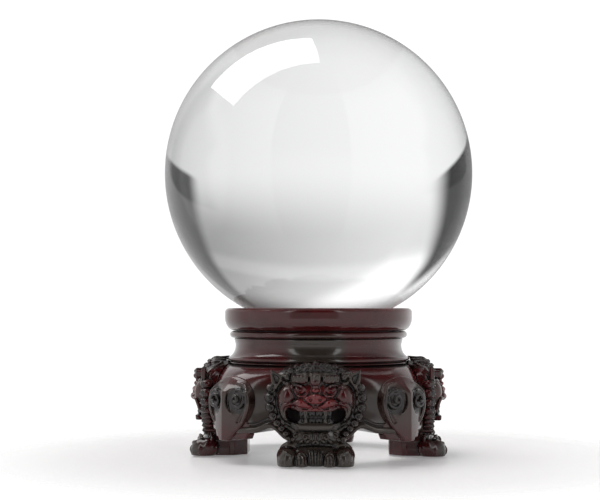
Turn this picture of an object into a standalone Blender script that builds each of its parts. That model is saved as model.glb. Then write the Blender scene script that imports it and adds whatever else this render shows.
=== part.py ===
"""A crystal ball that rests on a cast resin stand with four lion legs.

Row frame: metres, +Z up, origin on the floor under the middle of the stand. The front lion faces -Y.
The stand is a stack of turned mouldings on a square drum. A lion leg is let into the middle of each
side of the drum, and a keeled pendant into each corner. The ball lies loose in the rim and lifts off.
"""

import math

import bmesh
import bpy
from mathutils import Matrix, Vector

MM = 0.001
GAP = 0.3 * MM  # space left between two pieces that are bonded or that rest on each other

# the ball and its seat
BALL_RADIUS = 75 * MM
RIM_TOP = 71 * MM
SEAT_RADIUS = 36.4 * MM  # where the ball passes the plane of the rim's top
BALL_CENTRE_Z = RIM_TOP + math.sqrt(BALL_RADIUS**2 - SEAT_RADIUS**2)
BORE_RADIUS = 33 * MM

# the turned mouldings, from the top down
RIM_RADIUS = 45.6 * MM
RIM_FOOT = 60.2 * MM
BEAD_RADIUS = 43.1 * MM
BEAD_TOP = RIM_FOOT - GAP
BEAD_FOOT = 56.7 * MM
WAIST_TOP = BEAD_FOOT - GAP
WAIST_RADIUS = 40.4 * MM
LIP_RADIUS = 44.2 * MM
LIP_Z = 46.6 * MM
WAIST_FOOT = 44.4 * MM
SPIGOT_RADIUS = 36 * MM  # tube of the waist collar that locates the rim, the bead and the drum
SPIGOT_TOP = 63 * MM
SPIGOT_FOOT = 39 * MM
SOCKET_RADIUS = SPIGOT_RADIUS + GAP

# the drum
DRUM_TOP = WAIST_FOOT - GAP
DRUM_TOP_RADIUS = 43 * MM
SHOULDER_Z = 32 * MM  # the round shoulder ends here and the sides go straight down
HALF_SIDE = 48 * MM
SQUARENESS = 4.0  # exponent of the drum's plan: 2 is a circle, more is squarer
APRON = ((0, 11.5), (15, 11.5), (23, 16.7), (31, 14.4), (45, 13.6))  # degrees from mid side, mm

# the corner pendants
KEEL_RADIUS = 61 * MM
KEEL_TOP = 37.5 * MM
KEEL_FOOT = 10.6 * MM
KEEL_HALF_ANGLE = 14.8  # degrees each side of the corner, at the widest

# the lion legs, in the front leg's own frame: u to the right, w outwards, z up
FOOT_Z = 0.5 * MM
PAD_RADIUS = 5 * MM
PAD_HEIGHT = 1 * MM
PAD_W = 47 * MM
TENON = (5 * MM, 4.5 * MM, 24 * MM)  # half width, half height, height of its middle
TENON_END_W = 42 * MM
KEEL_TENON = (3 * MM, 3.5 * MM, 26 * MM)
KEEL_TENON_END_W = 50 * MM

TURNED_STEPS = 40
DRUM_COLUMNS = 96
SIDES = ("front", "right", "back", "left")
CORNERS = ("front_right", "back_right", "back_left", "front_left")


def clear_scene():
    for obj in list(bpy.data.objects):
        bpy.data.objects.remove(obj, do_unlink=True)


def new_collection(name):
    collection = bpy.data.collections.new(name)
    bpy.context.scene.collection.children.link(collection)
    return collection


def make_material(name, colour, roughness, transmission=0.0):
    material = bpy.data.materials.new(name)
    material.use_nodes = True
    shader = material.node_tree.nodes["Principled BSDF"]
    shader.inputs["Base Color"].default_value = (*colour, 1)
    shader.inputs["Roughness"].default_value = roughness
    shader.inputs["Metallic"].default_value = 0
    shader.inputs["Transmission Weight"].default_value = transmission
    return material


def add_object(name, mesh, collection, material=None):
    obj = bpy.data.objects.new(name, mesh)
    collection.objects.link(obj)
    if material:
        mesh.materials.clear()
        mesh.materials.append(material)
    return obj


def mesh_from(name, shape):
    """Makes a mesh of a bmesh, with its normals outwards and its round parts smooth."""
    bmesh.ops.recalc_face_normals(shape, faces=shape.faces)
    mesh = bpy.data.meshes.new(name)
    shape.to_mesh(mesh)
    shape.free()
    mesh.shade_smooth()
    mesh.set_sharp_from_angle(angle=math.radians(35))
    return mesh


def frozen(obj, name):
    """The evaluated mesh of obj, modifiers applied."""
    bpy.context.view_layer.update()
    graph = bpy.context.evaluated_depsgraph_get()
    mesh = bpy.data.meshes.new_from_object(obj.evaluated_get(graph))
    mesh.name = name
    return mesh


def hide(obj):
    obj.hide_render = True
    obj.display_type = "WIRE"
    return obj


def boolean(obj, operation, operand):
    """Adds a Boolean with one object, or with all those of a collection."""
    modifier = obj.modifiers.new(operation.lower(), "BOOLEAN")
    modifier.operation = operation
    modifier.solver = "EXACT"
    if isinstance(operand, bpy.types.Collection):
        modifier.operand_type = "COLLECTION"
        modifier.collection = operand
    else:
        modifier.object = operand


# ---------------------------------------------------------------- turned pieces


def arc(centre, radii, start, end, count):
    """Points of an elliptical arc in the (radius, z) plane, angles in degrees."""
    points = []
    for i in range(count + 1):
        angle = math.radians(start + (end - start) * i / count)
        points.append((centre[0] + radii[0] * math.cos(angle), centre[1] + radii[1] * math.sin(angle)))
    return points


def turned(name, outline, collection, material=None):
    """A ring turned from a closed outline of (radius, z) points, which runs down its outer side."""
    mesh = bpy.data.meshes.new(name)
    count = len(outline)
    edges = [(i, (i + 1) % count) for i in range(count)]
    mesh.from_pydata([(r, 0, z) for r, z in outline], edges, [])
    ring = add_object(name, mesh, collection, material)
    screw = ring.modifiers.new("turn", "SCREW")
    screw.axis = "Z"
    screw.steps = screw.render_steps = TURNED_STEPS
    screw.use_merge_vertices = True
    screw.merge_threshold = 0.00001
    screw.use_smooth_shade = True
    return ring


def seat_point(radius):
    """A point of the seat, which follows the ball at one gap from it."""
    return radius, BALL_CENTRE_Z - math.sqrt((BALL_RADIUS + GAP) ** 2 - radius**2)


def rim_outline():
    top_round = 2.6 * MM
    foot_width, foot_height = 3.8 * MM, 5.8 * MM
    outline = arc((RIM_RADIUS - top_round, RIM_TOP - top_round), (top_round, top_round), 90, 0, 4)
    outline += arc((RIM_RADIUS - foot_width, RIM_FOOT + foot_height), (foot_width, foot_height), 0, -90, 5)
    outline += [(SOCKET_RADIUS, RIM_FOOT), (SOCKET_RADIUS, SPIGOT_TOP + GAP), (BORE_RADIUS, SPIGOT_TOP + GAP)]
    outline += [seat_point(radius * MM) for radius in (33, 35, 36.9)]
    outline.append((38.4 * MM, RIM_TOP))
    return outline


def bead_outline():
    middle = (BEAD_TOP + BEAD_FOOT) / 2
    half = (BEAD_TOP - BEAD_FOOT) / 2
    outline = arc((BEAD_RADIUS - half, middle), (half, half), 90, -90, 6)
    outline += [(SOCKET_RADIUS, BEAD_FOOT), (SOCKET_RADIUS, BEAD_TOP)]
    return outline


def waist_surface():
    """The outer side of the waist collar, top to bottom: a scotia that flares to the lip, then a fillet."""
    fillet_radius = 43.4 * MM
    outline = [(WAIST_RADIUS + 0.5 * MM, WAIST_TOP), (WAIST_RADIUS, 54.3 * MM)]
    outline += arc((LIP_RADIUS + 0.3 * MM, 53 * MM), (4.1 * MM, 5.7 * MM), 190, 266, 5)
    outline += [(LIP_RADIUS, LIP_Z), (LIP_RADIUS - 0.3 * MM, LIP_Z - 0.6 * MM)]
    outline += [(42.7 * MM, 45.6 * MM), (fillet_radius, 45.1 * MM), (fillet_radius - 0.2 * MM, WAIST_FOOT)]
    return outline


def waist_outline():
    outline = [(BORE_RADIUS, SPIGOT_TOP), (SPIGOT_RADIUS, SPIGOT_TOP), (SPIGOT_RADIUS, WAIST_TOP)]
    outline += waist_surface()
    outline += [(SPIGOT_RADIUS, WAIST_FOOT), (SPIGOT_RADIUS, SPIGOT_FOOT), (BORE_RADIUS, SPIGOT_FOOT)]
    return outline


def make_mouldings(parts, cutters, resin):
    turned("rim_ring", rim_outline(), parts, resin)
    turned("bead_ring", bead_outline(), parts, resin)
    turned("waist_collar", waist_outline(), parts, resin)
    # the room that the collar needs, for the crest of each mane, which leans on it
    room = [(r + GAP, z) for r, z in waist_surface()]
    room = [(BORE_RADIUS, WAIST_TOP), *room, (BORE_RADIUS, WAIST_FOOT)]
    return hide(turned("waist_room", room, cutters))


# ---------------------------------------------------------------- the drum


def smooth_step(t):
    t = min(max(t, 0), 1)
    return t * t * (3 - 2 * t)


def apron_z(angle):
    """Height of the drum's lower edge. The angle is in degrees from the middle of a side."""
    folded = abs((angle + 45) % 90 - 45)
    for (a0, z0), (a1, z1) in zip(APRON, APRON[1:]):
        if folded <= a1:
            return (z0 + (z1 - z0) * smooth_step((folded - a0) / (a1 - a0))) * MM
    return APRON[-1][1] * MM


def plan_radius(angle):
    """Radius of the drum's plan, a superellipse. The angle is in degrees."""
    c = abs(math.cos(math.radians(angle)))
    s = abs(math.sin(math.radians(angle)))
    return HALF_SIDE / (c**SQUARENESS + s**SQUARENESS) ** (1 / SQUARENESS)


def polar(radius, angle, z):
    return Vector((radius * math.cos(math.radians(angle)), radius * math.sin(math.radians(angle)), z))


def drum_column(angle, grow=0.0):
    """The drum's outer side at one angle, from the top edge down to the apron."""
    full = plan_radius(angle)
    points = []
    for turn in (0, 22, 45, 68, 90):
        radius = DRUM_TOP_RADIUS + (full - DRUM_TOP_RADIUS) * math.sin(math.radians(turn))
        z = SHOULDER_Z + (DRUM_TOP - SHOULDER_Z) * math.cos(math.radians(turn))
        points.append(polar(radius + grow, angle, z))
    return points + [polar(full + grow, angle, apron_z(angle))]


def loft(columns):
    """A closed skin over columns of points, which each run once round the wall."""
    shape = bmesh.new()
    grid = [[shape.verts.new(point) for point in column] for column in columns]
    rows = len(grid[0])
    for i, column in enumerate(grid):
        following = grid[(i + 1) % len(grid)]
        for j in range(rows):
            k = (j + 1) % rows
            shape.faces.new((column[j], column[k], following[k], following[j]))
    return shape


def drum_columns(grow, inner_radius, lift, drop):
    columns = []
    for i in range(DRUM_COLUMNS):
        angle = 360 * i / DRUM_COLUMNS
        outer = drum_column(angle, grow)
        outer[0].z += lift
        outer[-1].z -= drop
        inner = [polar(inner_radius, angle, outer[-1].z), polar(inner_radius, angle, outer[0].z)]
        columns.append(outer + inner)
    return columns


def tenon(name, sizes, start_w, end_w, grow, angle, collection):
    """A square peg that points inwards at an angle about Z, where 0 is the front."""
    half_width, half_height, z = sizes
    shape = bmesh.new()
    bmesh.ops.create_cube(shape, size=1)
    length = start_w - end_w + grow
    scale = Matrix.Diagonal((2 * (half_width + grow), length, 2 * (half_height + grow), 1))
    place = Matrix.Rotation(math.radians(angle), 4, "Z") @ Matrix.Translation((0, length / 2 - start_w, z))
    bmesh.ops.transform(shape, matrix=place @ scale, verts=shape.verts)
    return hide(add_object(name, mesh_from(name, shape), collection))


def make_drum(parts, cutters, resin):
    wall = mesh_from("drum_body", loft(drum_columns(0, SOCKET_RADIUS, 0, 0)))
    drum = add_object("drum_body", wall, parts, resin)
    mortises = bpy.data.collections.new("mortises")
    cutters.children.link(mortises)
    for i, side in enumerate(SIDES):
        tenon(f"mortise_{side}", TENON, 52 * MM, TENON_END_W, GAP, 90 * i, mortises)
    for i, corner in enumerate(CORNERS):
        tenon(f"mortise_{corner}", KEEL_TENON, 60 * MM, KEEL_TENON_END_W, GAP, 90 * i + 45, mortises)
    boolean(drum, "DIFFERENCE", mortises)
    room = drum_columns(GAP, SOCKET_RADIUS - GAP, GAP, GAP)
    return hide(add_object("drum_room", mesh_from("drum_room", loft(room)), cutters))


# ---------------------------------------------------------------- corner pendants


def keel_half_width(z):
    """Half the pendant's width at a height, in degrees about Z: a shield with a narrow foot."""
    share = (z - KEEL_FOOT) / (KEEL_TOP - KEEL_FOOT)
    rise = smooth_step(share / 0.55)
    fall = math.sqrt(max(1 - max((share - 0.62) / 0.4, 0) ** 2, 0.02))
    return KEEL_HALF_ANGLE * (0.62 + 0.38 * rise) * fall


def keel_radius(across, z):
    """The pendant's outer radius. It has a sharp keel, and leans in to the shoulder at its top."""
    edge = KEEL_RADIUS - 1.6 * MM * abs(across) ** 0.9 - 1.0 * MM * abs(across) ** 4
    lean = smooth_step((z - 31 * MM) / (KEEL_TOP - 31 * MM))
    tuck = smooth_step((15 * MM - z) / (6 * MM))
    return edge - 3.4 * MM * lean - 2 * MM * tuck


def keel_shape(corner_angle, back_radius):
    shape = bmesh.new()
    shares = (0, 0.1, 0.22, 0.4, 0.55, 0.7, 0.82, 0.92, 1)
    heights = [KEEL_FOOT + (KEEL_TOP - KEEL_FOOT) * share for share in shares]
    across_steps = (-1, -0.66, -0.33, 0, 0.33, 0.66, 1)
    columns = []
    for across in across_steps:
        front, back = [], []
        for z in heights:
            angle = corner_angle + across * keel_half_width(z)
            front.append(shape.verts.new(polar(keel_radius(across, z), angle, z)))
            back.append(shape.verts.new(polar(back_radius, angle, z)))
        columns.append(front + back[::-1])
    rows = len(columns[0])
    for left, right in zip(columns, columns[1:]):
        for j in range(rows):
            k = (j + 1) % rows
            shape.faces.new((left[j], left[k], right[k], right[j]))
    for side in (columns[0], columns[-1]):
        half = rows // 2
        for j in range(half - 1):
            shape.faces.new((side[j], side[j + 1], side[rows - 2 - j], side[rows - 1 - j]))
    return shape


def make_keels(parts, cutters, drum_room, resin):
    shield = add_object("keel_form", mesh_from("keel_form", keel_shape(-45, 50 * MM)), cutters)
    boolean(shield, "DIFFERENCE", drum_room)
    peg = tenon("keel_peg", KEEL_TENON, KEEL_RADIUS - 3 * MM, KEEL_TENON_END_W, 0, 45, cutters)
    boolean(shield, "UNION", peg)
    mesh = frozen(shield, "corner_keel")
    hide(shield)
    for i, corner in enumerate(CORNERS):
        keel = add_object(f"keel_{corner}", mesh, parts, resin)
        keel.rotation_euler.z = math.radians(90 * i)


# ---------------------------------------------------------------- lion legs


def blob(name, centre, radii, collection, segments=9, rings=6, tilt=0.0):
    """An ellipsoid in the leg's frame. The tilt is in degrees about the outward axis."""
    shape = bmesh.new()
    bmesh.ops.create_uvsphere(shape, u_segments=segments, v_segments=rings, radius=1)
    u, w, z = (value * MM for value in centre)
    turn = Matrix.Rotation(math.radians(tilt), 4, "Y")
    scale = Matrix.Diagonal((*(value * MM for value in radii), 1))
    bmesh.ops.transform(shape, matrix=Matrix.Translation((u, -w, z)) @ turn @ scale, verts=shape.verts)
    return hide(add_object(name, mesh_from(name, shape), collection))


def ear(name, side, collection):
    """A pointed ear that leans out and back towards the drum."""
    shape = bmesh.new()
    bmesh.ops.create_cone(shape, cap_ends=True, segments=10, radius1=5 * MM, radius2=0.4 * MM, depth=11 * MM)
    flatten = Matrix.Diagonal((0.62, 1, 1, 1))
    lean = Matrix.Rotation(math.radians(34 * side), 4, "Y") @ Matrix.Rotation(math.radians(-20), 4, "X")
    place = Matrix.Translation((16.4 * side * MM, -52.5 * MM, 38.4 * MM))
    bmesh.ops.transform(shape, matrix=place @ lean @ flatten, verts=shape.verts)
    return hide(add_object(name, mesh_from(name, shape), collection))


def foot_block(collection):
    """The block behind the paws, tapered at its inner end."""
    outline = ((-13.5, 56), (-13.5, 41), (-8, 34), (8, 34), (13.5, 41), (13.5, 56))
    bottom, top = FOOT_Z - 2 * MM, 9.5 * MM
    shape = bmesh.new()
    face = shape.faces.new([shape.verts.new((u * MM, -w * MM, bottom)) for u, w in outline])
    pushed = bmesh.ops.extrude_face_region(shape, geom=[face])
    top_verts = [item for item in pushed["geom"] if isinstance(item, bmesh.types.BMVert)]
    bmesh.ops.translate(shape, vec=(0, 0, top - bottom), verts=top_verts)
    return add_object("foot_block", mesh_from("foot_block", shape), collection)


def jaw(collection):
    """The open lower jaw, a rounded plate that juts out under the mouth."""
    shape = bmesh.new()
    bmesh.ops.create_cube(shape, size=1)
    for vert in shape.verts:
        if vert.co.z > 0:
            vert.co.x *= 1.25
    bmesh.ops.bevel(shape, geom=shape.edges[:], offset=0.16, segments=1, affect="EDGES")
    place = Matrix.Translation((0, -54.5 * MM, 19.6 * MM))
    scale = Matrix.Diagonal((15 * MM, 11 * MM, 6 * MM, 1))
    bmesh.ops.transform(shape, matrix=place @ scale, verts=shape.verts)
    return hide(add_object("jaw", mesh_from("jaw", shape), collection))


def lion_forms(collection):
    """The simple forms that make one lion leg. Sizes are in millimetres in the leg's frame."""
    blob("mane", (0, 49.5, 28.5), (22.6, 6.6, 15.2), collection, 18, 10)
    blob("crest", (0, 46.5, 42.5), (4.5, 4.4, 6), collection)
    blob("face", (0, 53, 30), (16.4, 6.2, 10), collection, 14, 8)
    blob("muzzle", (0, 56.5, 29.2), (7.6, 5.5, 4.6), collection)
    blob("boss", (0, 57.4, 38), (2.7, 3.5, 2.8), collection)
    for side in (-1, 1):
        blob(f"brow_{side}", (6.8 * side, 56, 38), (4.7, 3.8, 2.7), collection, tilt=8 * side)
        blob(f"lip_{side}", (8.6 * side, 57, 27.2), (3.6, 3.2, 2.2), collection)
        blob(f"cheek_{side}", (13 * side, 54.5, 31), (4.6, 4.2, 6), collection)
        blob(f"inner_toe_{side}", (5.4 * side, 54.6, 4.4), (4.7, 6.4, 5.6), collection, 10, 7)
        blob(f"outer_toe_{side}", (12.2 * side, 52.6, 4.6), (5.2, 7, 5.6), collection, 10, 7)
        ear(f"ear_{side}", side, collection)
    blob("fangs", (0, 55.6, 23.4), (7.2, 3.6, 3.4), collection)
    jaw(collection)
    blob("beard", (0, 51.5, 14.6), (10.5, 4.8, 6.5), collection)
    blob("ankle", (0, 48.8, 10.5), (14.4, 6.2, 7.5), collection)


def make_lion_legs(parts, cutters, drum_room, waist_room, resin, felt):
    forms = bpy.data.collections.new("lion_forms")
    cutters.children.link(forms)
    lion_forms(forms)
    leg = foot_block(cutters)
    boolean(leg, "UNION", forms)
    boolean(leg, "DIFFERENCE", drum_room)
    boolean(leg, "DIFFERENCE", waist_room)
    peg = tenon("leg_peg", TENON, 52 * MM, TENON_END_W, 0, 0, cutters)
    boolean(leg, "UNION", peg)
    ground = bmesh.new()
    bmesh.ops.create_cube(ground, size=1)
    size = Matrix.Diagonal((60 * MM, 60 * MM, 20 * MM, 1))
    place = Matrix.Translation((0, -50 * MM, FOOT_Z - 10 * MM))
    bmesh.ops.transform(ground, matrix=place @ size, verts=ground.verts)
    boolean(leg, "DIFFERENCE", hide(add_object("under_foot", mesh_from("under_foot", ground), cutters)))
    recess = disc("pad_recess", PAD_RADIUS + GAP, -MM, PAD_HEIGHT + GAP, cutters)
    recess.location.y = -PAD_W
    boolean(leg, "DIFFERENCE", hide(recess))
    mesh = frozen(leg, "lion_leg")
    hide(leg)
    pad_mesh = disc("pad_form", PAD_RADIUS, 0, PAD_HEIGHT, cutters)
    hide(pad_mesh)
    for i, side in enumerate(SIDES):
        turn = math.radians(90 * i)
        copy = add_object(f"lion_leg_{side}", mesh, parts, resin)
        copy.rotation_euler.z = turn
        pad = add_object(f"foot_pad_{side}", pad_mesh.data, parts, felt)
        pad.location = (PAD_W * math.sin(turn), -PAD_W * math.cos(turn), 0)
        pad.rotation_euler.z = turn


def disc(name, radius, low, high, collection):
    shape = bmesh.new()
    bmesh.ops.create_cone(shape, cap_ends=True, segments=24, radius1=radius, radius2=radius, depth=high - low)
    bmesh.ops.translate(shape, vec=(0, 0, (low + high) / 2), verts=shape.verts)
    return add_object(name, mesh_from(name, shape), collection)


# ---------------------------------------------------------------- the ball


def make_ball(parts, glass):
    shape = bmesh.new()
    bmesh.ops.create_uvsphere(shape, u_segments=40, v_segments=20, radius=BALL_RADIUS)
    ball = add_object("crystal_ball", mesh_from("crystal_ball", shape), parts, glass)
    ball.location.z = BALL_CENTRE_Z


def main():
    clear_scene()
    parts = new_collection("crystal ball")
    cutters = new_collection("cutters")
    resin = make_material("rosewood resin", (0.085, 0.012, 0.012), 0.2)
    felt = make_material("felt", (0.03, 0.03, 0.03), 0.95)
    glass = make_material("crystal", (0.98, 0.99, 0.99), 0.0, transmission=1.0)
    waist_room = make_mouldings(parts, cutters, resin)
    drum_room = make_drum(parts, cutters, resin)
    make_keels(parts, cutters, drum_room, resin)
    make_lion_legs(parts, cutters, drum_room, waist_room, resin, felt)
    make_ball(parts, glass)


main()
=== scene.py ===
# A crystal ball on its stand: clear glass over turned resin mouldings, a square drum with keeled corners,
# and four lion legs. The casting is worked in millimetres and turned into metres when its mesh is made.
import math

import bmesh
import bpy
import numpy as np
from mathutils import Matrix, Vector


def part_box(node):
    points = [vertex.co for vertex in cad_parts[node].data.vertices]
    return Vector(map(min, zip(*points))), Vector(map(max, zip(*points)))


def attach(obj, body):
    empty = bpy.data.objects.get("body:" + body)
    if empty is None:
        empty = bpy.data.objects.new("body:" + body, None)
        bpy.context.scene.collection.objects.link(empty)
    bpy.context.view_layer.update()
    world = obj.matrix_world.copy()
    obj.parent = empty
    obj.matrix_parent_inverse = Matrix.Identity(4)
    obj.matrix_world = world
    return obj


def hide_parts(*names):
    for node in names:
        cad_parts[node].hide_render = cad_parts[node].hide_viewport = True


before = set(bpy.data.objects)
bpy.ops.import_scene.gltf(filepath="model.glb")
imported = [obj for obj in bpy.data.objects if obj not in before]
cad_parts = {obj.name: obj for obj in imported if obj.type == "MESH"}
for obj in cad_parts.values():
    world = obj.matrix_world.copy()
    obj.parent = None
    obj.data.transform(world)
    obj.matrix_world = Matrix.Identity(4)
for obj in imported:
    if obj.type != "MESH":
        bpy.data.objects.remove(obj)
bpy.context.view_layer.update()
scene = bpy.context.scene
mm = 0.001
sides = ("front", "right", "back", "left")
corners = ("front_right", "back_right", "back_left", "front_left")
seatLow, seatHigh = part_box("rim_ring")
ballLow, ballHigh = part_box("crystal_ball")
rimTop = seatHigh[2]
print("frame loaded")


def addObject(name, data):
    thing = bpy.data.objects.new(name, data)
    scene.collection.objects.link(thing)
    return thing


def meshOf(shape, name):
    mesh = bpy.data.meshes.new(name)
    shape.to_mesh(mesh)
    shape.free()
    return mesh


shot = {"distance": 0.65, "azimuth": 1.3, "lens": 79.7, "sensor": 36, "clip": 0.01,
        "aimAcross": -0.009, "aimAbove": 0.0284}


def placeCamera():
    lens = bpy.data.cameras.new("camera")
    lens.lens = shot["lens"]
    lens.sensor_width = shot["sensor"]
    lens.clip_start = shot["clip"]
    camera = addObject("camera", lens)
    scene.camera = camera
    turn = math.radians(shot["azimuth"])
    camera.location = (shot["distance"] * math.sin(turn), -shot["distance"] * math.cos(turn), rimTop)
    aim = Vector((shot["aimAcross"], 0, rimTop + shot["aimAbove"]))
    camera.rotation_euler = (aim - camera.location).to_track_quat("-Z", "Y").to_euler()
    scene.view_settings.view_transform = "Standard"


placeCamera()
print("camera placed")


# small helpers for node trees

def put(tree, kind, **settings):  # one node, with its settings and its plain input values
    node = tree.nodes.new(kind)
    for key, value in settings.items():
        if hasattr(node, key):
            setattr(node, key, value)
        else:
            node.inputs[key.replace("_", " ")].default_value = value
    return node


def join(tree, source, target):
    tree.links.new(source, target)


def feed(tree, socket, value):  # value is a number, a colour or another node's socket
    if isinstance(value, (int, float)):
        socket.default_value = value
    elif isinstance(value, tuple):
        socket.default_value = (*value, 1)
    else:
        join(tree, value, socket)


def sums(tree, operation, *values):  # a Math node
    node = put(tree, "ShaderNodeMath", operation=operation)
    for socket, value in zip(node.inputs, values):
        feed(tree, socket, value)
    return node.outputs[0]


def product(tree, *values):
    total = values[0]
    for value in values[1:]:
        total = sums(tree, "MULTIPLY", total, value)
    return total


def smooth(tree, value, low, high, start=0.0, end=1.0):  # a soft step of value from low to high
    node = put(tree, "ShaderNodeMapRange", interpolation_type="SMOOTHSTEP", From_Min=low, From_Max=high,
               To_Min=start, To_Max=end)
    join(tree, value, node.inputs["Value"])
    return node.outputs[0]


def mixTone(tree, amount, first, second):
    node = put(tree, "ShaderNodeMix", data_type="FLOAT")
    for place, value in ((0, amount), (2, first), (3, second)):
        feed(tree, node.inputs[place], value)
    return node.outputs[0]


def mixColour(tree, amount, first, second):
    node = put(tree, "ShaderNodeMix", data_type="RGBA")
    for place, value in ((0, amount), (6, first), (7, second)):
        feed(tree, node.inputs[place], value)
    return node.outputs[2]


def mixShader(tree, amount, first, second):
    node = tree.nodes.new("ShaderNodeMixShader")
    for socket, value in zip(node.inputs, (amount, first.outputs[0], second.outputs[0])):
        feed(tree, socket, value)
    return node


# the studio: what the ball bends and the resin mirrors. Angles are in degrees: azimuth 0 is straight behind
# the ball, with its left negative, and a span gives the ends of a soft step, then its tones

studio = {
    "white": 1.08,  # the background, for the camera
    "table": (-30, 75, 0.985, 0.66),
    "tableSides": (50, 90, 1, 0.72),
    "wallFoot": (4, 21),
    "lean": (-34, 44, 1.22, 0.45),  # the wall behind, from left to right
    "dusk": (24, 50, 0.67, 0.8844),  # and from its middle up
    "spillSlant": (-24, 0.7),  # a lighter patch at the upper left: where its edge bends, and its slope
    "spill": (40, 53, 0, 0.36),
    "glint": ((27, 31), (36, 33), 0.1),
    "backRight": (10, 35, 0, 0.5),  # what more the resin sees of the wall
    "boardSide": (76, 92),  # white boards beside the camera
    "board": 0.85,
    "boardFoot": (16, 5, 0, 0.15),  # how much brighter their lower parts shine on the resin
    "gap": (-33, 25),  # the dark gap that the camera stands in
    "gapTop": (78, 60),
    "gapTones": (2, 18, 0.42, 0.03),
    "tableFront": (-1.5, -4.5, 0, 0.6),  # the table in front of the gap, for the resin
    "strip": 8,  # how wide each lit strip at the gap's edges is
    "stripEnds": ((8, 14), (60, 54)),
    "stripTone": 3.2,
    "overhead": (22, 45, 1, 0.45),  # how the resin sees it darken upwards
    "ceiling": (42, 62, 1, 0.2),
    "mirrorReach": (80, 50),  # the part of the wall behind that the glass mirrors only weakly
    "mirrored": (-25, 25, 0.6, 0.32),  # how strongly, from left to right
    "straightDepth": 2.5,  # a ray that has only passed through the ball
}

flags = {  # black flags beside the wall. Feet and tops give a slope, then the span of the edge
    "left": {"inner": (-32, -46), "outer": (92, 80), "slant": -0.3, "foot": (0.45, 21.2, 23.2),
             "top": (0.6, 54, 39), "tone": 0.02},
    "right": {"inner": (33, 42), "outer": (90, 78), "slant": 0.15, "foot": (0.3, 15.4, 17.4),
              "top": (1.0, 66, 51), "tone": 0.05},
}
flagEdges = {"low": 10, "slantReach": 25, "outerLow": 8, "topPivot": 50}


def sight(tree):  # which way a ray looks, and what sort of ray it is
    parts = tree.nodes.new("ShaderNodeSeparateXYZ")
    join(tree, put(tree, "ShaderNodeTexCoord").outputs["Generated"], parts.inputs[0])
    across, along, up = parts.outputs
    degrees = 180 / math.pi
    azimuth = product(tree, sums(tree, "ARCTAN2", across, along), degrees)
    path = put(tree, "ShaderNodeLightPath").outputs
    sharp = path["Is Singular Ray"]
    straight = product(tree, path["Is Transmission Ray"],
                       sums(tree, "LESS_THAN", path["Ray Depth"], studio["straightDepth"]))
    return {"azimuth": azimuth, "wide": sums(tree, "ABSOLUTE", azimuth),
            "facing": product(tree, sums(tree, "ARCTAN2", across, product(tree, along, -1)), degrees),
            "rise": product(tree, sums(tree, "ARCSINE", up), degrees),
            "camera": path["Is Camera Ray"], "sharp": sharp,
            "mirror": product(tree, sharp, path["Is Reflection Ray"]),
            "dull": sums(tree, "SUBTRACT", 1, sharp), "bent": sums(tree, "SUBTRACT", 1, straight)}


def backWall(tree, see):  # white like the table below it, dusk above, and lighter again at the upper left
    azimuth, rise = see["azimuth"], see["rise"]
    table = product(tree, smooth(tree, azimuth, *studio["table"]),
                    smooth(tree, see["wide"], *studio["tableSides"]))
    wall = product(tree, smooth(tree, azimuth, *studio["lean"]), smooth(tree, rise, *studio["dusk"]))
    start, slope = studio["spillSlant"]
    slant = sums(tree, "SUBTRACT", rise, product(tree, sums(tree, "MAXIMUM", azimuth, start), slope))
    wall = sums(tree, "ADD", wall, smooth(tree, slant, *studio["spill"]))
    begin, end, tone = studio["glint"]
    wall = sums(tree, "ADD", wall, product(tree, smooth(tree, rise, *begin), smooth(tree, rise, *end), tone))
    wall = mixTone(tree, smooth(tree, rise, *studio["wallFoot"]), table, wall)
    return sums(tree, "ADD", wall, product(tree, smooth(tree, azimuth, *studio["backRight"]), see["dull"]))


def blackFlag(tree, see, flag):
    azimuth, rise, wide = see["azimuth"], see["rise"], see["wide"]
    higher = sums(tree, "MAXIMUM", sums(tree, "SUBTRACT", rise, flagEdges["low"]), 0)
    higher = sums(tree, "MINIMUM", higher, flagEdges["slantReach"])
    side = sums(tree, "SUBTRACT", azimuth, product(tree, higher, flag["slant"]))
    reach = sums(tree, "SUBTRACT", wide, sums(tree, "MAXIMUM", rise, flagEdges["outerLow"]))
    slope, *footSpan = flag["foot"]
    foot = sums(tree, "ADD", rise, product(tree, wide, slope))
    slope, *topSpan = flag["top"]
    top = sums(tree, "ADD", rise, product(tree, sums(tree, "SUBTRACT", wide, flagEdges["topPivot"]), slope))
    return product(tree, smooth(tree, side, *flag["inner"]), smooth(tree, reach, *flag["outer"]),
                   smooth(tree, foot, *footSpan), smooth(tree, top, *topSpan))


def boardsAndGap(tree, see, wall):  # white boards beside the camera, and the dark gap between them
    rise, facing, dull = see["rise"], see["facing"], see["dull"]
    board = product(tree, dull, smooth(tree, rise, *studio["boardFoot"]))
    board = sums(tree, "ADD", board, studio["board"])
    board = mixTone(tree, smooth(tree, see["wide"], *studio["boardSide"]), wall, board)
    low, high = studio["gap"]
    pastLow, pastHigh = smooth(tree, facing, low - 1, low + 1), smooth(tree, facing, high + 1, high - 1)
    gap = product(tree, pastLow, pastHigh, smooth(tree, rise, *studio["gapTop"]), see["bent"])
    dark = sums(tree, "ADD", smooth(tree, rise, *studio["gapTones"]),
                product(tree, smooth(tree, rise, *studio["tableFront"]), dull))
    return mixTone(tree, gap, board, dark)


def litStrips(tree, see):  # at both edges of the gap, for the resin
    facing = see["facing"]
    low, high = studio["gap"]
    reach = studio["strip"]
    left = product(tree, smooth(tree, facing, low - reach, low - reach + 1),
                   smooth(tree, facing, low + 1, low - 1))
    right = product(tree, smooth(tree, facing, high - 1, high + 1),
                    smooth(tree, facing, high + reach, high + reach - 1))
    foot, top = studio["stripEnds"]
    return product(tree, sums(tree, "ADD", left, right), smooth(tree, see["rise"], *foot),
                   smooth(tree, see["rise"], *top), see["dull"])


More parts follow.
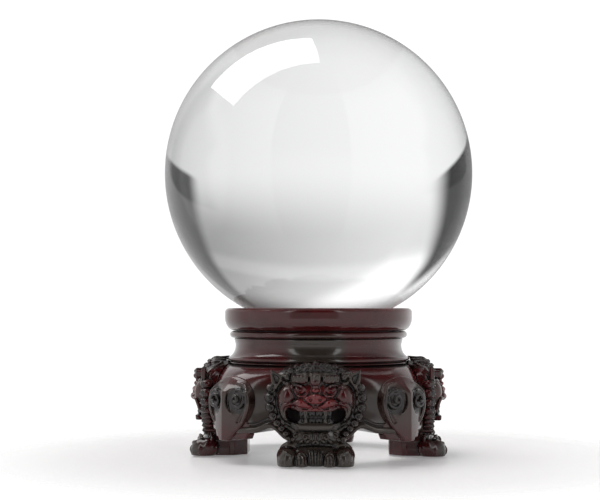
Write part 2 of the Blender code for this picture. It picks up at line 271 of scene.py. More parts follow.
def buildWorld():
    world = bpy.data.worlds.new("studio")
    scene.world = world
    world.use_nodes = True
    tree = world.node_tree
    tree.nodes.clear()
    see = sight(tree)
    tone = boardsAndGap(tree, see, backWall(tree, see))
    tone = product(tree, tone, smooth(tree, product(tree, see["dull"], see["rise"]), *studio["overhead"]))
    tone = mixTone(tree, litStrips(tree, see), tone, studio["stripTone"])
    tone = product(tree, tone, smooth(tree, see["rise"], *studio["ceiling"]))
    for flag in flags.values():  # they shade the glass alone
        tone = mixTone(tree, product(tree, blackFlag(tree, see, flag), see["sharp"]), tone, flag["tone"])
    mirror = product(tree, see["mirror"], smooth(tree, see["wide"], *studio["mirrorReach"]))
    tone = mixTone(tree, mirror, tone, product(tree, tone, smooth(tree, see["azimuth"], *studio["mirrored"])))
    tone = mixTone(tree, see["camera"], tone, studio["white"])
    glow = put(tree, "ShaderNodeBackground", Color=(1, 1, 1, 1))
    join(tree, tone, glow.inputs["Strength"])
    join(tree, glow.outputs[0], put(tree, "ShaderNodeOutputWorld").inputs["Surface"])


floorLook = {
    "radius": 0.6,
    "white": (0.84, 0.82, 0.82, 1),
    "roughness": 0.2,
    "glow": 0.25,  # how much light comes up through the sheet
    "gloss": (0.055, 0.12, 0.16, 0.0),  # span in metres from the middle, and how much it mirrors
    "fade": (0.085, 0.2),
}


def buildFloor():  # a glossy white sheet that melts into the backdrop, so that no horizon shows
    shape = bmesh.new()
    bmesh.ops.create_circle(shape, cap_ends=True, segments=96, radius=floorLook["radius"])
    floor = addObject("floor", meshOf(shape, "floor"))
    paint = bpy.data.materials.new("white acrylic")
    paint.use_nodes = True
    tree = paint.node_tree
    tree.nodes.clear()
    away = put(tree, "ShaderNodeVectorMath", operation="LENGTH")
    join(tree, put(tree, "ShaderNodeTexCoord").outputs["Object"], away.inputs[0])
    away = away.outputs["Value"]
    sheet = mixShader(tree, floorLook["glow"], put(tree, "ShaderNodeBsdfDiffuse", Color=floorLook["white"]),
                      put(tree, "ShaderNodeEmission", Color=(1, 1, 1, 1), Strength=1.0))
    gloss = put(tree, "ShaderNodeBsdfGlossy", Color=(1, 1, 1, 1), Roughness=floorLook["roughness"])
    sheet = mixShader(tree, smooth(tree, away, *floorLook["gloss"]), sheet, gloss)
    nothing = put(tree, "ShaderNodeBsdfTransparent")
    sheet = mixShader(tree, smooth(tree, away, *floorLook["fade"]), sheet, nothing)
    join(tree, sheet.outputs[0], put(tree, "ShaderNodeOutputMaterial").inputs["Surface"])
    floor.data.materials.append(paint)


lamps = {  # where each stands, the way it shines, the way its width lies, its size and its power
    "overhead_left": {"place": (-0.378, 0.125, 1.051), "way": (0.633, 0.243, -0.735),
                      "along": (0.761, -0.025, 0.648), "width": 0.937, "height": 0.676, "watts": 8.5},
}


def lightStudio():
    for name, plan in lamps.items():
        lamp = bpy.data.lights.new(name, "AREA")
        lamp.shape = "RECTANGLE"
        lamp.size = plan["width"]
        lamp.size_y = plan["height"]
        lamp.energy = plan["watts"]
        holder = addObject(name, lamp)
        holder.visible_transmission = False  # it is mirrored by the ball, and not seen through it
        holder.location = plan["place"]
        back = -Vector(plan["way"]).normalized()
        upright = back.cross(Vector(plan["along"])).normalized()
        holder.rotation_euler = Matrix((upright.cross(back), upright, back)).transposed().to_euler()


buildWorld()
buildFloor()
lightStudio()
print("studio lit")


resinLook = {
    "red": (0.054, 0.005, 0.0058),
    "deep": (0.018, 0.003, 0.0033),
    "bright": (0.12, 0.008, 0.01),
    "black": (0.004, 0.0042, 0.0034),
    "sheenAndDust": (0.034, 0.029, 0.0235),  # dry-brushed antiquing where the black stands proud, which also stands in as painted sheen
    "cloud": 90.0, "grain": 900.0,  # how fine the two noises are
    "mottle": (0.3, 0.7), "deepShare": 0.45, "mottleDirt": 0.25,
    "shadeAndDirt": (0.35, 1.0), "shadeAndDirtShare": 0.9, "sheenAndDustEnd": 0.5,
    "roughness": 0.1, "grainRough": 0.08, "shadeAndDirtRough": 0.16,
    "specular": 0.45, "coat": 0.15, "coatRoughness": 0.06, "bump": 0.06, "bumpHeight": 0.0004,
}
glassLook = {"colour": (0.985, 0.99, 0.99, 1), "index": 1.51, "wave": 22.0,
             "bump": 0.01, "bumpHeight": 0.0005}
feltLook = {"dark": (0.012, 0.012, 0.013), "pale": (0.05, 0.048, 0.05), "fuzz": 2500.0, "roughness": 0.95,
            "sheen": 0.6, "bump": 0.6, "bumpHeight": 0.0003}


def newMaterial(name):
    material = bpy.data.materials.new(name)
    material.use_nodes = True
    return material, material.node_tree, material.node_tree.nodes["Principled BSDF"]


def noise(tree, scale, detail):
    texture = put(tree, "ShaderNodeTexNoise", Scale=scale, Detail=detail)
    join(tree, put(tree, "ShaderNodeTexCoord").outputs["Object"], texture.inputs["Vector"])
    return texture.outputs["Fac"]


def emboss(tree, shader, height, look):
    bump = put(tree, "ShaderNodeBump", Strength=look["bump"], Distance=look["bumpHeight"])
    join(tree, height, bump.inputs["Height"])
    join(tree, bump.outputs[0], shader.inputs["Normal"])


def resin(name, worn):  # rosewood-red casting, blackened in its hollows as antiquing and as painted shade, with dust and painted sheen where the black stands proud, then lacquered
    material, tree, shader = newMaterial(name)
    shadeAndAntique, soot, rouge = (put(tree, "ShaderNodeAttribute", attribute_name=layer).outputs["Fac"]
                           for layer in ("shadeAndAntique", "soot", "rouge"))
    grain = noise(tree, resinLook["grain"], 3.0)
    mottle = smooth(tree, noise(tree, resinLook["cloud"], 4.0), *resinLook["mottle"])
    body = mixColour(tree, product(tree, mottle, resinLook["deepShare"]), resinLook["red"], resinLook["deep"])
    body = mixColour(tree, rouge, body, resinLook["bright"])
    # painted shade from the hollows, with the mottle's dirt, darkens the colour and roughens it
    shadeAndDirt = sums(tree, "ADD", shadeAndAntique, product(tree, mottle, resinLook["mottleDirt"] * worn))
    shadeAndDirt = smooth(tree, shadeAndDirt, *resinLook["shadeAndDirt"])
    black = sums(tree, "MAXIMUM", product(tree, shadeAndDirt, resinLook["shadeAndDirtShare"]), soot)
    # the deepest shade is black, and the rest of the black carries dust and painted sheen
    deepest = smooth(tree, shadeAndDirt, 0.0, resinLook["sheenAndDustEnd"])
    sheenAndDustBlack = mixColour(tree, deepest, resinLook["sheenAndDust"], resinLook["black"])
    join(tree, mixColour(tree, black, body, sheenAndDustBlack), shader.inputs["Base Color"])
    rough = sums(tree, "ADD", product(tree, grain, resinLook["grainRough"]), resinLook["roughness"])
    rough = sums(tree, "ADD", rough, product(tree, shadeAndDirt, resinLook["shadeAndDirtRough"]))
    join(tree, rough, shader.inputs["Roughness"])
    shader.inputs["Specular IOR Level"].default_value = resinLook["specular"]
    shader.inputs["Coat Weight"].default_value = resinLook["coat"]
    shader.inputs["Coat Roughness"].default_value = resinLook["coatRoughness"]
    emboss(tree, shader, grain, resinLook)
    return material


def crystal():
    material, tree, shader = newMaterial("crystal")
    shader.inputs["Base Color"].default_value = glassLook["colour"]
    shader.inputs["Roughness"].default_value = 0.0
    shader.inputs["IOR"].default_value = glassLook["index"]
    shader.inputs["Transmission Weight"].default_value = 1.0
    emboss(tree, shader, noise(tree, glassLook["wave"], 1.0), glassLook)
    return material


def felt():
    material, tree, shader = newMaterial("felt")
    fuzz = noise(tree, feltLook["fuzz"], 5.0)
    join(tree, mixColour(tree, fuzz, feltLook["dark"], feltLook["pale"]), shader.inputs["Base Color"])
    shader.inputs["Roughness"].default_value = feltLook["roughness"]
    shader.inputs["Sheen Weight"].default_value = feltLook["sheen"]
    emboss(tree, shader, fuzz, feltLook)
    return material


turnedResin = resin("turned resin", 0.6)
castResin = resin("cast resin", 1.0)
crystalGlass = crystal()
blackFelt = felt()
print("materials mixed")


def addPiece(name, mesh, material, body, slot, *nodes):
    mesh.name = name
    mesh.materials.clear()
    mesh.materials.append(material)
    piece = addObject(name, mesh)
    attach(piece, body)
    if nodes:
        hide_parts(*nodes)
    return piece


def makeBall():
    low, high = Vector(ballLow), Vector(ballHigh)
    shape = bmesh.new()
    bmesh.ops.create_icosphere(shape, subdivisions=7, radius=(high.z - low.z) / 2)
    bmesh.ops.translate(shape, vec=(low + high) / 2, verts=shape.verts)
    mesh = meshOf(shape, "ball")
    mesh.shade_smooth()
    ball = addPiece("clear_ball", mesh, crystalGlass, "ball", "crystal", "crystal_ball")
    ball.visible_shadow = False  # lamps shine through it


makeBall()
print("ball made")


# turned mouldings: a Geometry Nodes lathe that sweeps an outline of (radius, height) round the axis

def groupTree(name, inputs):  # a Geometry Nodes tree with its own named inputs
    tree = bpy.data.node_groups.new(name, "GeometryNodeTree")
    for socket, kind in (("Geometry", "Geometry"), *inputs.items(), ("Finish", "Material")):
        tree.interface.new_socket(socket, in_out="INPUT", socket_type="NodeSocket" + kind)
    tree.interface.new_socket("Geometry", in_out="OUTPUT", socket_type="NodeSocketGeometry")
    return tree, tree.nodes.new("NodeGroupInput")


def closeTree(tree, start, geometry):  # smooth shading, then real geometry in its own material
    shade = put(tree, "GeometryNodeSetShadeSmooth")
    real = put(tree, "GeometryNodeRealizeInstances")
    finish = put(tree, "GeometryNodeSetMaterial")
    join(tree, geometry, real.inputs["Geometry"])
    join(tree, real.outputs[0], shade.inputs["Geometry"])
    join(tree, shade.outputs[0], finish.inputs["Geometry"])
    join(tree, start.outputs["Finish"], finish.inputs["Material"])
    join(tree, finish.outputs[0], tree.nodes.new("NodeGroupOutput").inputs["Geometry"])


def latheTree():
    tree, start = groupTree("lathe", {"Steps": "Int", "Rows": "Int"})
    grid = put(tree, "GeometryNodeMeshGrid")
    join(tree, start.outputs["Steps"], grid.inputs["Vertices X"])
    join(tree, start.outputs["Rows"], grid.inputs["Vertices Y"])
    split = put(tree, "ShaderNodeSeparateXYZ")
    join(tree, put(tree, "GeometryNodeInputPosition").outputs[0], split.inputs[0])
    sample = put(tree, "GeometryNodeSampleCurve", mode="FACTOR")
    join(tree, start.outputs["Geometry"], sample.inputs["Curves"])
    join(tree, sums(tree, "ADD", split.outputs[1], 0.5), sample.inputs["Factor"])
    rotate = put(tree, "ShaderNodeVectorRotate", rotation_type="Z_AXIS")
    join(tree, sample.outputs["Position"], rotate.inputs["Vector"])
    join(tree, product(tree, sums(tree, "ADD", split.outputs[0], 0.5), 2 * math.pi), rotate.inputs["Angle"])
    bend = put(tree, "GeometryNodeSetPosition")
    join(tree, grid.outputs[0], bend.inputs["Geometry"])
    join(tree, rotate.outputs[0], bend.inputs["Position"])
    weld = put(tree, "GeometryNodeMergeByDistance", Distance=0.000002)
    join(tree, bend.outputs[0], weld.inputs["Geometry"])
    closeTree(tree, start, weld.outputs[0])
    return tree


def runTree(holder, tree, **values):  # the plain mesh that a tree makes of an object
    modifier = holder.modifiers.new("shape", "NODES")
    modifier.node_group = tree
    for item in tree.interface.items_tree:
        if item.item_type == "SOCKET" and item.in_out == "INPUT" and item.name in values:
            modifier[item.identifier] = values[item.name]
    bpy.context.view_layer.update()
    graph = bpy.context.evaluated_depsgraph_get()
    mesh = bpy.data.meshes.new_from_object(holder.evaluated_get(graph))
    bpy.data.objects.remove(holder, do_unlink=True)
    return mesh


def polyCurve(name, points):
    curve = bpy.data.curves.new(name, "CURVE")
    curve.dimensions = "3D"
    line = curve.splines.new("POLY")
    line.points.add(len(points) - 1)
    for point, place in zip(line.points, points):
        point.co = (*place, 1)
    return addObject(name, curve)


def arc(centre, radii, start, end, count=10):  # points of an elliptical arc in the (radius, height) plane
    turns = np.radians(np.linspace(start, end, count))
    return [(centre[0] + radii[0] * math.cos(t), centre[1] + radii[1] * math.sin(t)) for t in turns]


seat = {"ballRadius": (ballHigh[2] - ballLow[2]) / 2 / mm, "ballHeight": (ballHigh[2] + ballLow[2]) / 2 / mm,
        "gap": 0.3, "bore": 33, "tube": 36, "top": rimTop / mm, "ledge": 63.3, "end": 36.8, "lip": 38.6}
rim = {"radius": seatHigh[0] / mm, "foot": seatLow[2] / mm, "topRound": 2.2, "footWidth": 4.4,
       "footHeight": 6.4}
collar = {"beadRadius": 43.1, "beadFoot": 56.7, "top": 63, "waist": 40.4, "cove": 53.2, "lip": 44.2,
          "lipHeight": 46.6, "footHeight": 44.85, "foot": 44.4, "sleeve": 39}


def seatPoint(radius):
    return radius, seat["ballHeight"] - math.sqrt((seat["ballRadius"] + seat["gap"]) ** 2 - radius**2)


def rimOutline():
    bend = rim["topRound"]
    points = arc((rim["radius"] - bend, seat["top"] - bend), (bend, bend), 90, 8)
    points += arc((rim["radius"] - rim["footWidth"], rim["foot"] + rim["footHeight"]),
                  (rim["footWidth"], rim["footHeight"]), -6, -86, 16)
    points += [(seat["tube"] + seat["gap"], rim["foot"]), (seat["tube"] + seat["gap"], seat["ledge"]),
               (seat["bore"], seat["ledge"])]
    points += [seatPoint(radius) for radius in np.linspace(seat["bore"], seat["end"], 6)]
    return points + arc((seat["lip"], seat["top"] - 0.5), (1.3, 0.5), 170, 92, 5)


def beadOutline():
    top, foot = rim["foot"] - seat["gap"], collar["beadFoot"]
    half = (top - foot) / 2
    points = arc((collar["beadRadius"] - half, top - half), (half, half), 80, -80, 14)
    return points + [(seat["tube"] + seat["gap"], foot), (seat["tube"] + seat["gap"], top)]


def waistOutline():
    top, lip = collar["beadFoot"] - seat["gap"], collar["lip"]
    points = [(seat["bore"], collar["top"]), (seat["tube"], collar["top"]), (seat["tube"], top)]
    points += [(collar["waist"] + 0.6, top), (collar["waist"] + 0.55, top - 0.6)]
    points += arc((lip + 0.3, collar["cove"]), (4.15, 5.9), 176, 262, 18)
    points += arc((lip - 0.5, collar["lipHeight"] - 0.05), (0.5, 0.6), 60, -60, 6)
    points += [(lip - 1.45, 45.7), (lip - 1.5, 45.45)]
    points += arc((lip - 1.2, collar["footHeight"]), (0.5, 0.42), 80, -70, 6)
    return points + [(seat["tube"], collar["foot"]), (seat["tube"], collar["sleeve"]),
                     (seat["bore"], collar["sleeve"])]


def evenly(points, step):  # a closed outline with a point at least every step, so that shading stays smooth
    result = []
    for here, there in zip(points, points[1:] + points[:1]):
        count = max(1, math.ceil(math.dist(here, there) / step))
        result += [tuple(np.add(here, np.subtract(there, here) * i / count)) for i in range(count)]
    return result + [points[0]]


def fixNormals(mesh):
    shape = bmesh.new()
    shape.from_mesh(mesh)
    bmesh.ops.recalc_face_normals(shape, faces=shape.faces)
    shape.to_mesh(mesh)
    shape.free()
    mesh.shade_smooth()
    mesh.set_sharp_from_angle(angle=math.radians(50))


def vertexPlaces(mesh):
    places = np.empty(len(mesh.vertices) * 3)
    mesh.vertices.foreach_get("co", places)
    return places.reshape(-1, 3) / mm


def floatAttribute(mesh, name, values):
    layer = mesh.attributes.new(name, "FLOAT", "POINT")
    layer.data.foreach_set("value", np.asarray(values, dtype=np.float32))


def softStep(t):
    t = np.clip(t, 0, 1)
    return t * t * (3 - 2 * t)


def ringShadeAndAntique(places):  # painted shade, with antiquing, in the creases between the mouldings
    near = np.min([np.abs(places[:, 2] - z) for z in (rim["foot"], collar["beadFoot"], 45.6, 44.2)], axis=0)
    return np.clip(1 - near / 0.9, 0, 1)


def ringSoot(places):  # black sprayed round the top of each lion, on the flare above it
    aside = np.minimum(np.abs(places[:, 0]), np.abs(places[:, 1]))
    return softStep((16 - aside) / 6) * softStep((62 - places[:, 2]) / 7) * 0.92


def turnedPiece(tree, name, outline, node):
    points = evenly(outline, 1.2)
    holder = polyCurve(name, [(r * mm, 0, z * mm) for r, z in points])
    mesh = runTree(holder, tree, Steps=257, Rows=len(points) * 2 + 1, Finish=turnedResin)
    fixNormals(mesh)
    places = vertexPlaces(mesh)
    floatAttribute(mesh, "shadeAndAntique", ringShadeAndAntique(places))
    floatAttribute(mesh, "soot", ringSoot(places))
    addPiece(name, mesh, turnedResin, "stand", "resin", node)


lathe = latheTree()
turnedPiece(lathe, "turned_rim", rimOutline(), "rim_ring")
turnedPiece(lathe, "turned_bead", beadOutline(), "bead_ring")
turnedPiece(lathe, "turned_waist", waistOutline(), "waist_collar")
print("mouldings turned")


# the stand's outer surface below the collar, which the drum, the pendants and the legs share

drum = {"halfSide": 48, "squareness": 4.0, "top": 44.1, "topRadius": 43, "shoulder": 32, "bore": 36.3,
        "columns": 576, "shoulderRows": 54, "wallRows": 20, "lipRows": 30, "lip": 3.1, "bead": 1.2,
        "lipDepth": 1.5, "beadDepth": 0.75, "lipReach": 5, "sweepReach": 9, "sweep": 0.9, "undercut": 0.35,
        "apron": ((0, 11.5), (15, 11.5), (23, 16.7), (31, 14.4), (45, 13.6))}  # degrees from mid side, height


def apronHeight(turn):  # the drum's lower edge; turn is in radians
    folded = np.degrees(np.abs((turn + math.pi / 4) % (math.pi / 2) - math.pi / 4))
    height = np.full_like(folded, drum["apron"][-1][1])
    for (a0, z0), (a1, z1) in reversed(list(zip(drum["apron"], drum["apron"][1:]))):
        height = np.where(folded <= a1, z0 + (z1 - z0) * softStep((folded - a0) / (a1 - a0)), height)
    return height


def drumRadius(turn, height):
    n = drum["squareness"]
    plan = drum["halfSide"] / (np.abs(np.cos(turn)) ** n + np.abs(np.sin(turn)) ** n) ** (1 / n)
    share = np.clip((height - drum["shoulder"]) / (drum["top"] - drum["shoulder"]), 0, 1)
    return drum["topRadius"] + (plan - drum["topRadius"]) * np.sqrt(1 - share**2)


def drumSection(turn):  # the columns of the drum's outer skin, from its top down to the apron's edge
    edge, reach, roll = apronHeight(turn)[:, None], drum["lipReach"], drum["lip"]
    quarter = np.linspace(0, math.pi / 2, drum["shoulderRows"])
    shoulder = drum["shoulder"] + (drum["top"] - drum["shoulder"]) * np.cos(quarter) + 0 * edge
    drop = edge + reach - drum["shoulder"]
    wall = drum["shoulder"] + drop * np.linspace(0, 1, drum["wallRows"])[None, 1:]
    lip = edge + reach * (1 - np.linspace(0, 1, drum["lipRows"])[None, 1:])
    heights = np.concatenate([shoulder, wall, lip], axis=1)
    radius = drumRadius(turn[:, None], heights)
    above = heights - edge
    sweep = softStep(1 - above / drum["sweepReach"]) * drum["sweep"]  # the wall sweeps out towards the lip
    lipShape = drum["lipDepth"] * np.sqrt(np.clip(1 - ((above - roll / 2) / (roll / 2)) ** 2, 0, 1))
    beadAt = roll + 0.35 + drum["bead"] / 2
    beadShape = drum["beadDepth"] * np.sqrt(np.clip(1 - ((above - beadAt) / (drum["bead"] / 2)) ** 2, 0, 1))
    radius = radius + sweep - drum["undercut"] * softStep(1 - above / reach) + lipShape + beadShape
    return radius, heights


def loftMesh(name, grid):  # a closed skin over a grid of points, which wraps both ways
    columns, rows = grid.shape[:2]
    index = np.arange(columns * rows).reshape(columns, rows)
    right, below = np.roll(index, -1, 0), np.roll(index, -1, 1)
    quads = np.stack([index, below, np.roll(right, -1, 1), right], -1).reshape(-1, 4)
    mesh = bpy.data.meshes.new(name)
    mesh.from_pydata((grid.reshape(-1, 3) * mm).tolist(), [], quads.tolist())
    return mesh


def makeDrum():
    turn = np.arange(drum["columns"]) * 2 * math.pi / drum["columns"]
    radius, heights = drumSection(turn)
    inner = np.full(len(turn), drum["bore"])
    under, over = (radius[:, -1] + inner) / 2, (inner + drum["topRadius"]) / 2
    radius = np.column_stack([radius, under, inner, inner, over])
    low, high = heights[:, -1], heights[:, 0]
    heights = np.column_stack([heights, low, low, high, high])
    grid = np.stack([radius * np.cos(turn)[:, None], radius * np.sin(turn)[:, None], heights], -1)
    mesh = loftMesh("drum", grid)
    fixNormals(mesh)
    places = vertexPlaces(mesh)
    above = places[:, 2] - apronHeight(np.arctan2(places[:, 1], places[:, 0]))
    # painted shade, with antiquing, in the grooves above the apron's lip and where the drum meets the collar
    crease = np.exp(-((above - drum["lip"] - 0.2) / 0.35) ** 2) + np.exp(-((above - 4.5) / 0.5) ** 2)
    crown = np.exp(-((places[:, 2] - drum["top"]) / 0.9) ** 2)
    floatAttribute(mesh, "shadeAndAntique", np.clip(crease + crown, 0, 1))
    spray = softStep((40 - places[:, 2]) / 7) * softStep((places[:, 2] - 9) / 6)
    floatAttribute(mesh, "soot", spray * 0.85)
    addPiece("square_drum", mesh, castResin, "stand", "resin", "drum_body")


makeDrum()
print("drum made")


# clay: a block of signed distances that strokes are added to or cut from, then skinned. It is half of a piece
# that is the same on both sides: u is to one side, w outwards from the stand's axis, z up

def block(low, high, cell):
    axes = [np.arange(a, b + cell, cell, dtype=np.float32) for a, b in zip(low, high)]
    return {"low": np.array(low), "cell": cell, "axes": axes,
            "depth": np.full([len(axis) for axis in axes], 60, np.float32)}


def blendMin(one, other, blend):  # the lesser of two distances, rounded where they meet
    near = np.maximum(blend - np.abs(one - other), 0) / blend
    return np.minimum(one, other) - near * near * blend / 4


def press(clay, form, low, high, how="add", blend=0.6):  # form gives distances; low and high bound it
    pad = max(blend, 0.4) * 1.5 + 2 * clay["cell"]
    cut = tuple(slice(int(np.searchsorted(axis, a - pad)), int(np.searchsorted(axis, b + pad)))
                for axis, a, b in zip(clay["axes"], low, high))
    if any(part.stop <= part.start for part in cut):
        return
    u, w, z = np.meshgrid(*(axis[part] for axis, part in zip(clay["axes"], cut)), indexing="ij", sparse=True)
    new, old = form(u, w, z), clay["depth"][cut]
    clay["depth"][cut] = blendMin(new, old, blend) if how == "add" else -blendMin(new, -old, blend)


def pebble(clay, centre, radii, tilt=0, lean=0, how="add", blend=0.6):  # an ellipsoid, turned in degrees
    turn = Matrix.Rotation(math.radians(tilt), 3, "Y") @ Matrix.Rotation(math.radians(lean), 3, "X")
    back = np.array(turn.transposed())
    reach = max(radii)

    def form(u, w, z):
        p = (u - centre[0], w - centre[1], z - centre[2])
        q = [(row[0] * p[0] + row[1] * p[1] + row[2] * p[2]) / radius for row, radius in zip(back, radii)]
        size = np.sqrt(q[0] ** 2 + q[1] ** 2 + q[2] ** 2)
        slope = np.sqrt(sum((part / radius) ** 2 for part, radius in zip(q, radii)))
        return size * (size - 1) / np.maximum(slope, 1e-6)

    press(clay, form, [c - reach for c in centre], [c + reach for c in centre], how, blend)


def slab(clay, outline, low, high, rounding=1.0, how="add", blend=0.6):  # an outline in (u, z), thick along w
    points = np.array(outline, dtype=np.float32)
    if points[0][0] == 0 and points[-1][0] == 0:  # half an outline is closed with its own mirror image
        points = np.vstack([points, points[-2:0:-1] * (-1, 1)]).astype(np.float32)

    def form(u, w, z):
        u2, z2 = u[:, 0, :], z[:, 0, :]
        away = np.full(np.broadcast_shapes(u2.shape, z2.shape), 1e9, np.float32)
        inside = np.zeros(away.shape, bool)
        for (u0, z0), (u1, z1) in zip(points, np.roll(points, -1, 0)):
            du, dz = u1 - u0, z1 - z0
            t = np.clip(((u2 - u0) * du + (z2 - z0) * dz) / (du * du + dz * dz), 0, 1)
            away = np.minimum(away, (u2 - u0 - t * du) ** 2 + (z2 - z0 - t * dz) ** 2)
            crosses = (z0 > z2) != (z1 > z2)
            inside ^= crosses & (u2 < u0 + (z2 - z0) * du / (dz if dz else 1e-9))
        flat = np.where(inside, -np.sqrt(away), np.sqrt(away))[:, None, :] + rounding
        thick = np.maximum(low - w, w - high) + rounding
        outer = np.sqrt(np.maximum(flat, 0) ** 2 + np.maximum(thick, 0) ** 2)
        return outer + np.minimum(np.maximum(flat, thick), 0) - rounding

    bounds = points.min(0), points.max(0)
    press(clay, form, (bounds[0][0], low, bounds[0][1]), (bounds[1][0], high, bounds[1][1]), how, blend)


def flow(points, count=7):  # a smooth path through points of any width, by Catmull-Rom
    points = np.array(points, dtype=float)
    padded = np.vstack([2 * points[0] - points[1], points, 2 * points[-1] - points[-2]])
    path = []
    for a, b, c, d in zip(padded, padded[1:], padded[2:], padded[3:]):
        for t in np.linspace(0, 1, count, endpoint=False):
            path.append(0.5 * (2 * b + (c - a) * t + (2 * a - 5 * b + 4 * c - d) * t**2
                               + (3 * b - a - 3 * c + d) * t**3))
    return np.array(path + [points[-1]])


def rope(clay, path, how="add", blend=0.5):  # a round stroke along (u, w, z, radius)
    path = np.asarray(path, dtype=np.float32)

    def form(u, w, z):
        best = None
        for a, b in zip(path, path[1:]):
            step = b[:3] - a[:3]
            t = ((u - a[0]) * step[0] + (w - a[1]) * step[1] + (z - a[2]) * step[2]) / max(step @ step, 1e-9)
            t = np.clip(t, 0, 1)
            gap = np.sqrt((u - a[0] - t * step[0]) ** 2 + (w - a[1] - t * step[1]) ** 2
                          + (z - a[2] - t * step[2]) ** 2) - (a[3] + t * (b[3] - a[3]))
            best = gap if best is None else np.minimum(best, gap)
        return best

    reach = path[:, 3:].max()
    press(clay, form, path[:, :3].min(0) - reach, path[:, :3].max(0) + reach, how, blend)


def skinAt(clay, u, z):  # how far out the clay's skin lies at a place of its front
    i = (u - clay["low"][0]) / clay["cell"]
    k = (z - clay["low"][2]) / clay["cell"]
    i0, k0 = int(np.clip(i, 0, len(clay["axes"][0]) - 2)), int(np.clip(k, 0, len(clay["axes"][2]) - 2))
    column = clay["depth"][i0:i0 + 2, :, k0:k0 + 2].mean((0, 2))
    solid = np.nonzero(column < 0)[0]
    if not len(solid):
        return clay["axes"][1][0]
    j = min(solid[-1], len(column) - 2)
    return clay["axes"][1][j] + clay["cell"] * column[j] / (column[j] - column[j + 1])


def stroke(clay, points, how="add", blend=0.45, even=True):  # points of (u, z, radius, lift) laid on the skin
    path = flow(points) if len(points) > 2 and even else np.array(points, dtype=float)
    laid = [(u, skinAt(clay, abs(u), z) + lift, z, max(radius, 0.05)) for u, z, radius, lift in path]
    rope(clay, laid, how, blend)


def curl(clay, u, z, size, winding):  # a raised spiral that winds in from its rim
    path = []
    for t in np.linspace(0, 1, winding["points"]):
        angle = math.radians(winding["start"]) - winding["turns"] * 2 * math.pi * t
        reach = size * (1 - winding["inward"] * t)
        wire = size * winding["wire"] * (1 - winding["taper"] * t)
        path.append((u + reach * math.cos(angle), z + reach * math.sin(angle), wire,
                     winding["lift"] + winding["rise"] * t))
    stroke(clay, path, even=False)


def skin(clay, name):  # surface nets over the half block and its mirror image, drawn onto the zero surface
    half = clay["depth"]
    whole = np.concatenate([half[:0:-1], half], axis=0)
    whole = np.pad(whole, 1, constant_values=5.0)
    low = clay["low"] - clay["cell"]
    low[0] = -(half.shape[0]) * clay["cell"]
    solid = whole < 0
    count = 0
    for offset in np.ndindex(2, 2, 2):
        corner = tuple(slice(o, n - 1 + o) for o, n in zip(offset, whole.shape))
        count = count + solid[corner].astype(np.uint8)
    mixed = (count > 0) & (count < 8)  # the cells that the surface passes through
    index = np.full(mixed.shape, -1, np.int64)
    cells = np.argwhere(mixed)
    index[mixed] = np.arange(len(cells))
    total, hits = np.zeros((len(cells), 3)), np.zeros(len(cells))
    at = tuple(cells.T)
    for offset in np.ndindex(2, 2, 2):
        for axis in range(3):
            if offset[axis]:
                continue
            a = tuple(c + o for c, o in zip(at, offset))
            b = tuple(c + (1 if k == axis else 0) for k, c in enumerate(a))
            da, db = whole[a], whole[b]
            crossing = (da < 0) != (db < 0)
            t = np.where(crossing, da / np.where(crossing, da - db, 1), 0)
            point = np.array(offset, float) + np.zeros((len(cells), 3))
            point[:, axis] += t
            total += point * crossing[:, None]
            hits += crossing
    places = cells + total / hits[:, None]
    quads = []
    for axis in range(3):
        one, two = [(1, 2), (2, 0), (0, 1)][axis]
        near = [slice(1, -1)] * 3
        near[axis] = slice(0, -1)
        far = list(near)
        far[axis] = slice(1, None)
        here, there = solid[tuple(near)], solid[tuple(far)]
        for flip, crossing in ((False, here & ~there), (True, ~here & there)):
            edge = np.argwhere(crossing) + [0 if k == axis else 1 for k in range(3)]
            ring = []
            for d1, d2 in ((0, 0), (1, 0), (1, 1), (0, 1)):
                cell = edge.copy()
                cell[:, one] -= d1
                cell[:, two] -= d2
                ring.append(index[tuple(cell.T)])
            quads.append(np.stack(ring[::-1] if flip else ring, -1))
    quads = np.concatenate(quads)

    def read(points):  # distance at points, in cells
        base = np.clip(np.floor(points).astype(int), 0, np.array(whole.shape) - 2)
        f = points - base
        value = 0
        for offset in np.ndindex(2, 2, 2):
            weight = np.prod([f[:, k] if offset[k] else 1 - f[:, k] for k in range(3)], axis=0)
            value = value + weight * whole[tuple((base + offset).T)]
        return value

    def slope(points, reach=0.6):
        steps = np.eye(3) * reach
        gradient = np.stack([read(points + s) - read(points - s) for s in steps], -1)
        return gradient / np.maximum(np.linalg.norm(gradient, axis=1, keepdims=True), 1e-9)

    normals = slope(places)
    for _ in range(2):
        move = np.clip(read(places) / clay["cell"], -0.4, 0.4)
        places = places - normals * move[:, None]
    normals = slope(places, 1.0)
    # painted shade, which also stands for antiquing: the skin is darkened where it lies enclosed
    shadeAndAntique = 0
    for reach in (0.8, 1.8):  # how much closer the skin is, a little way out, than on open ground
        shadeAndAntique = shadeAndAntique + np.clip(1 - read(places + normals * reach / clay["cell"]) / reach, 0, 1) * 0.6
    points = low + places * clay["cell"]
    mesh = bpy.data.meshes.new(name)
    mesh.from_pydata((points * mm).tolist(), [], quads.tolist())
    return mesh, points, normals, np.clip(shadeAndAntique, 0, 1)


def carve(clay, form, blend=0.3):  # cuts a form of any size away from the whole block
    u, w, z = np.meshgrid(*clay["axes"], indexing="ij", sparse=True)
    clay["depth"] = -blendMin(form(u, w, z), -clay["depth"], blend)


def collarRadius(z):  # the outside of the collar, bead and rim, for what leans on them
    heights = (44.0, 44.4, 45.4, 46.0, 47.2, 49.0, 52.0, 56.0)
    radii = (43.2, 43.5, 42.9, 44.2, 43.6, 41.7, 40.5, 41.0)
    return np.interp(z, heights, radii)


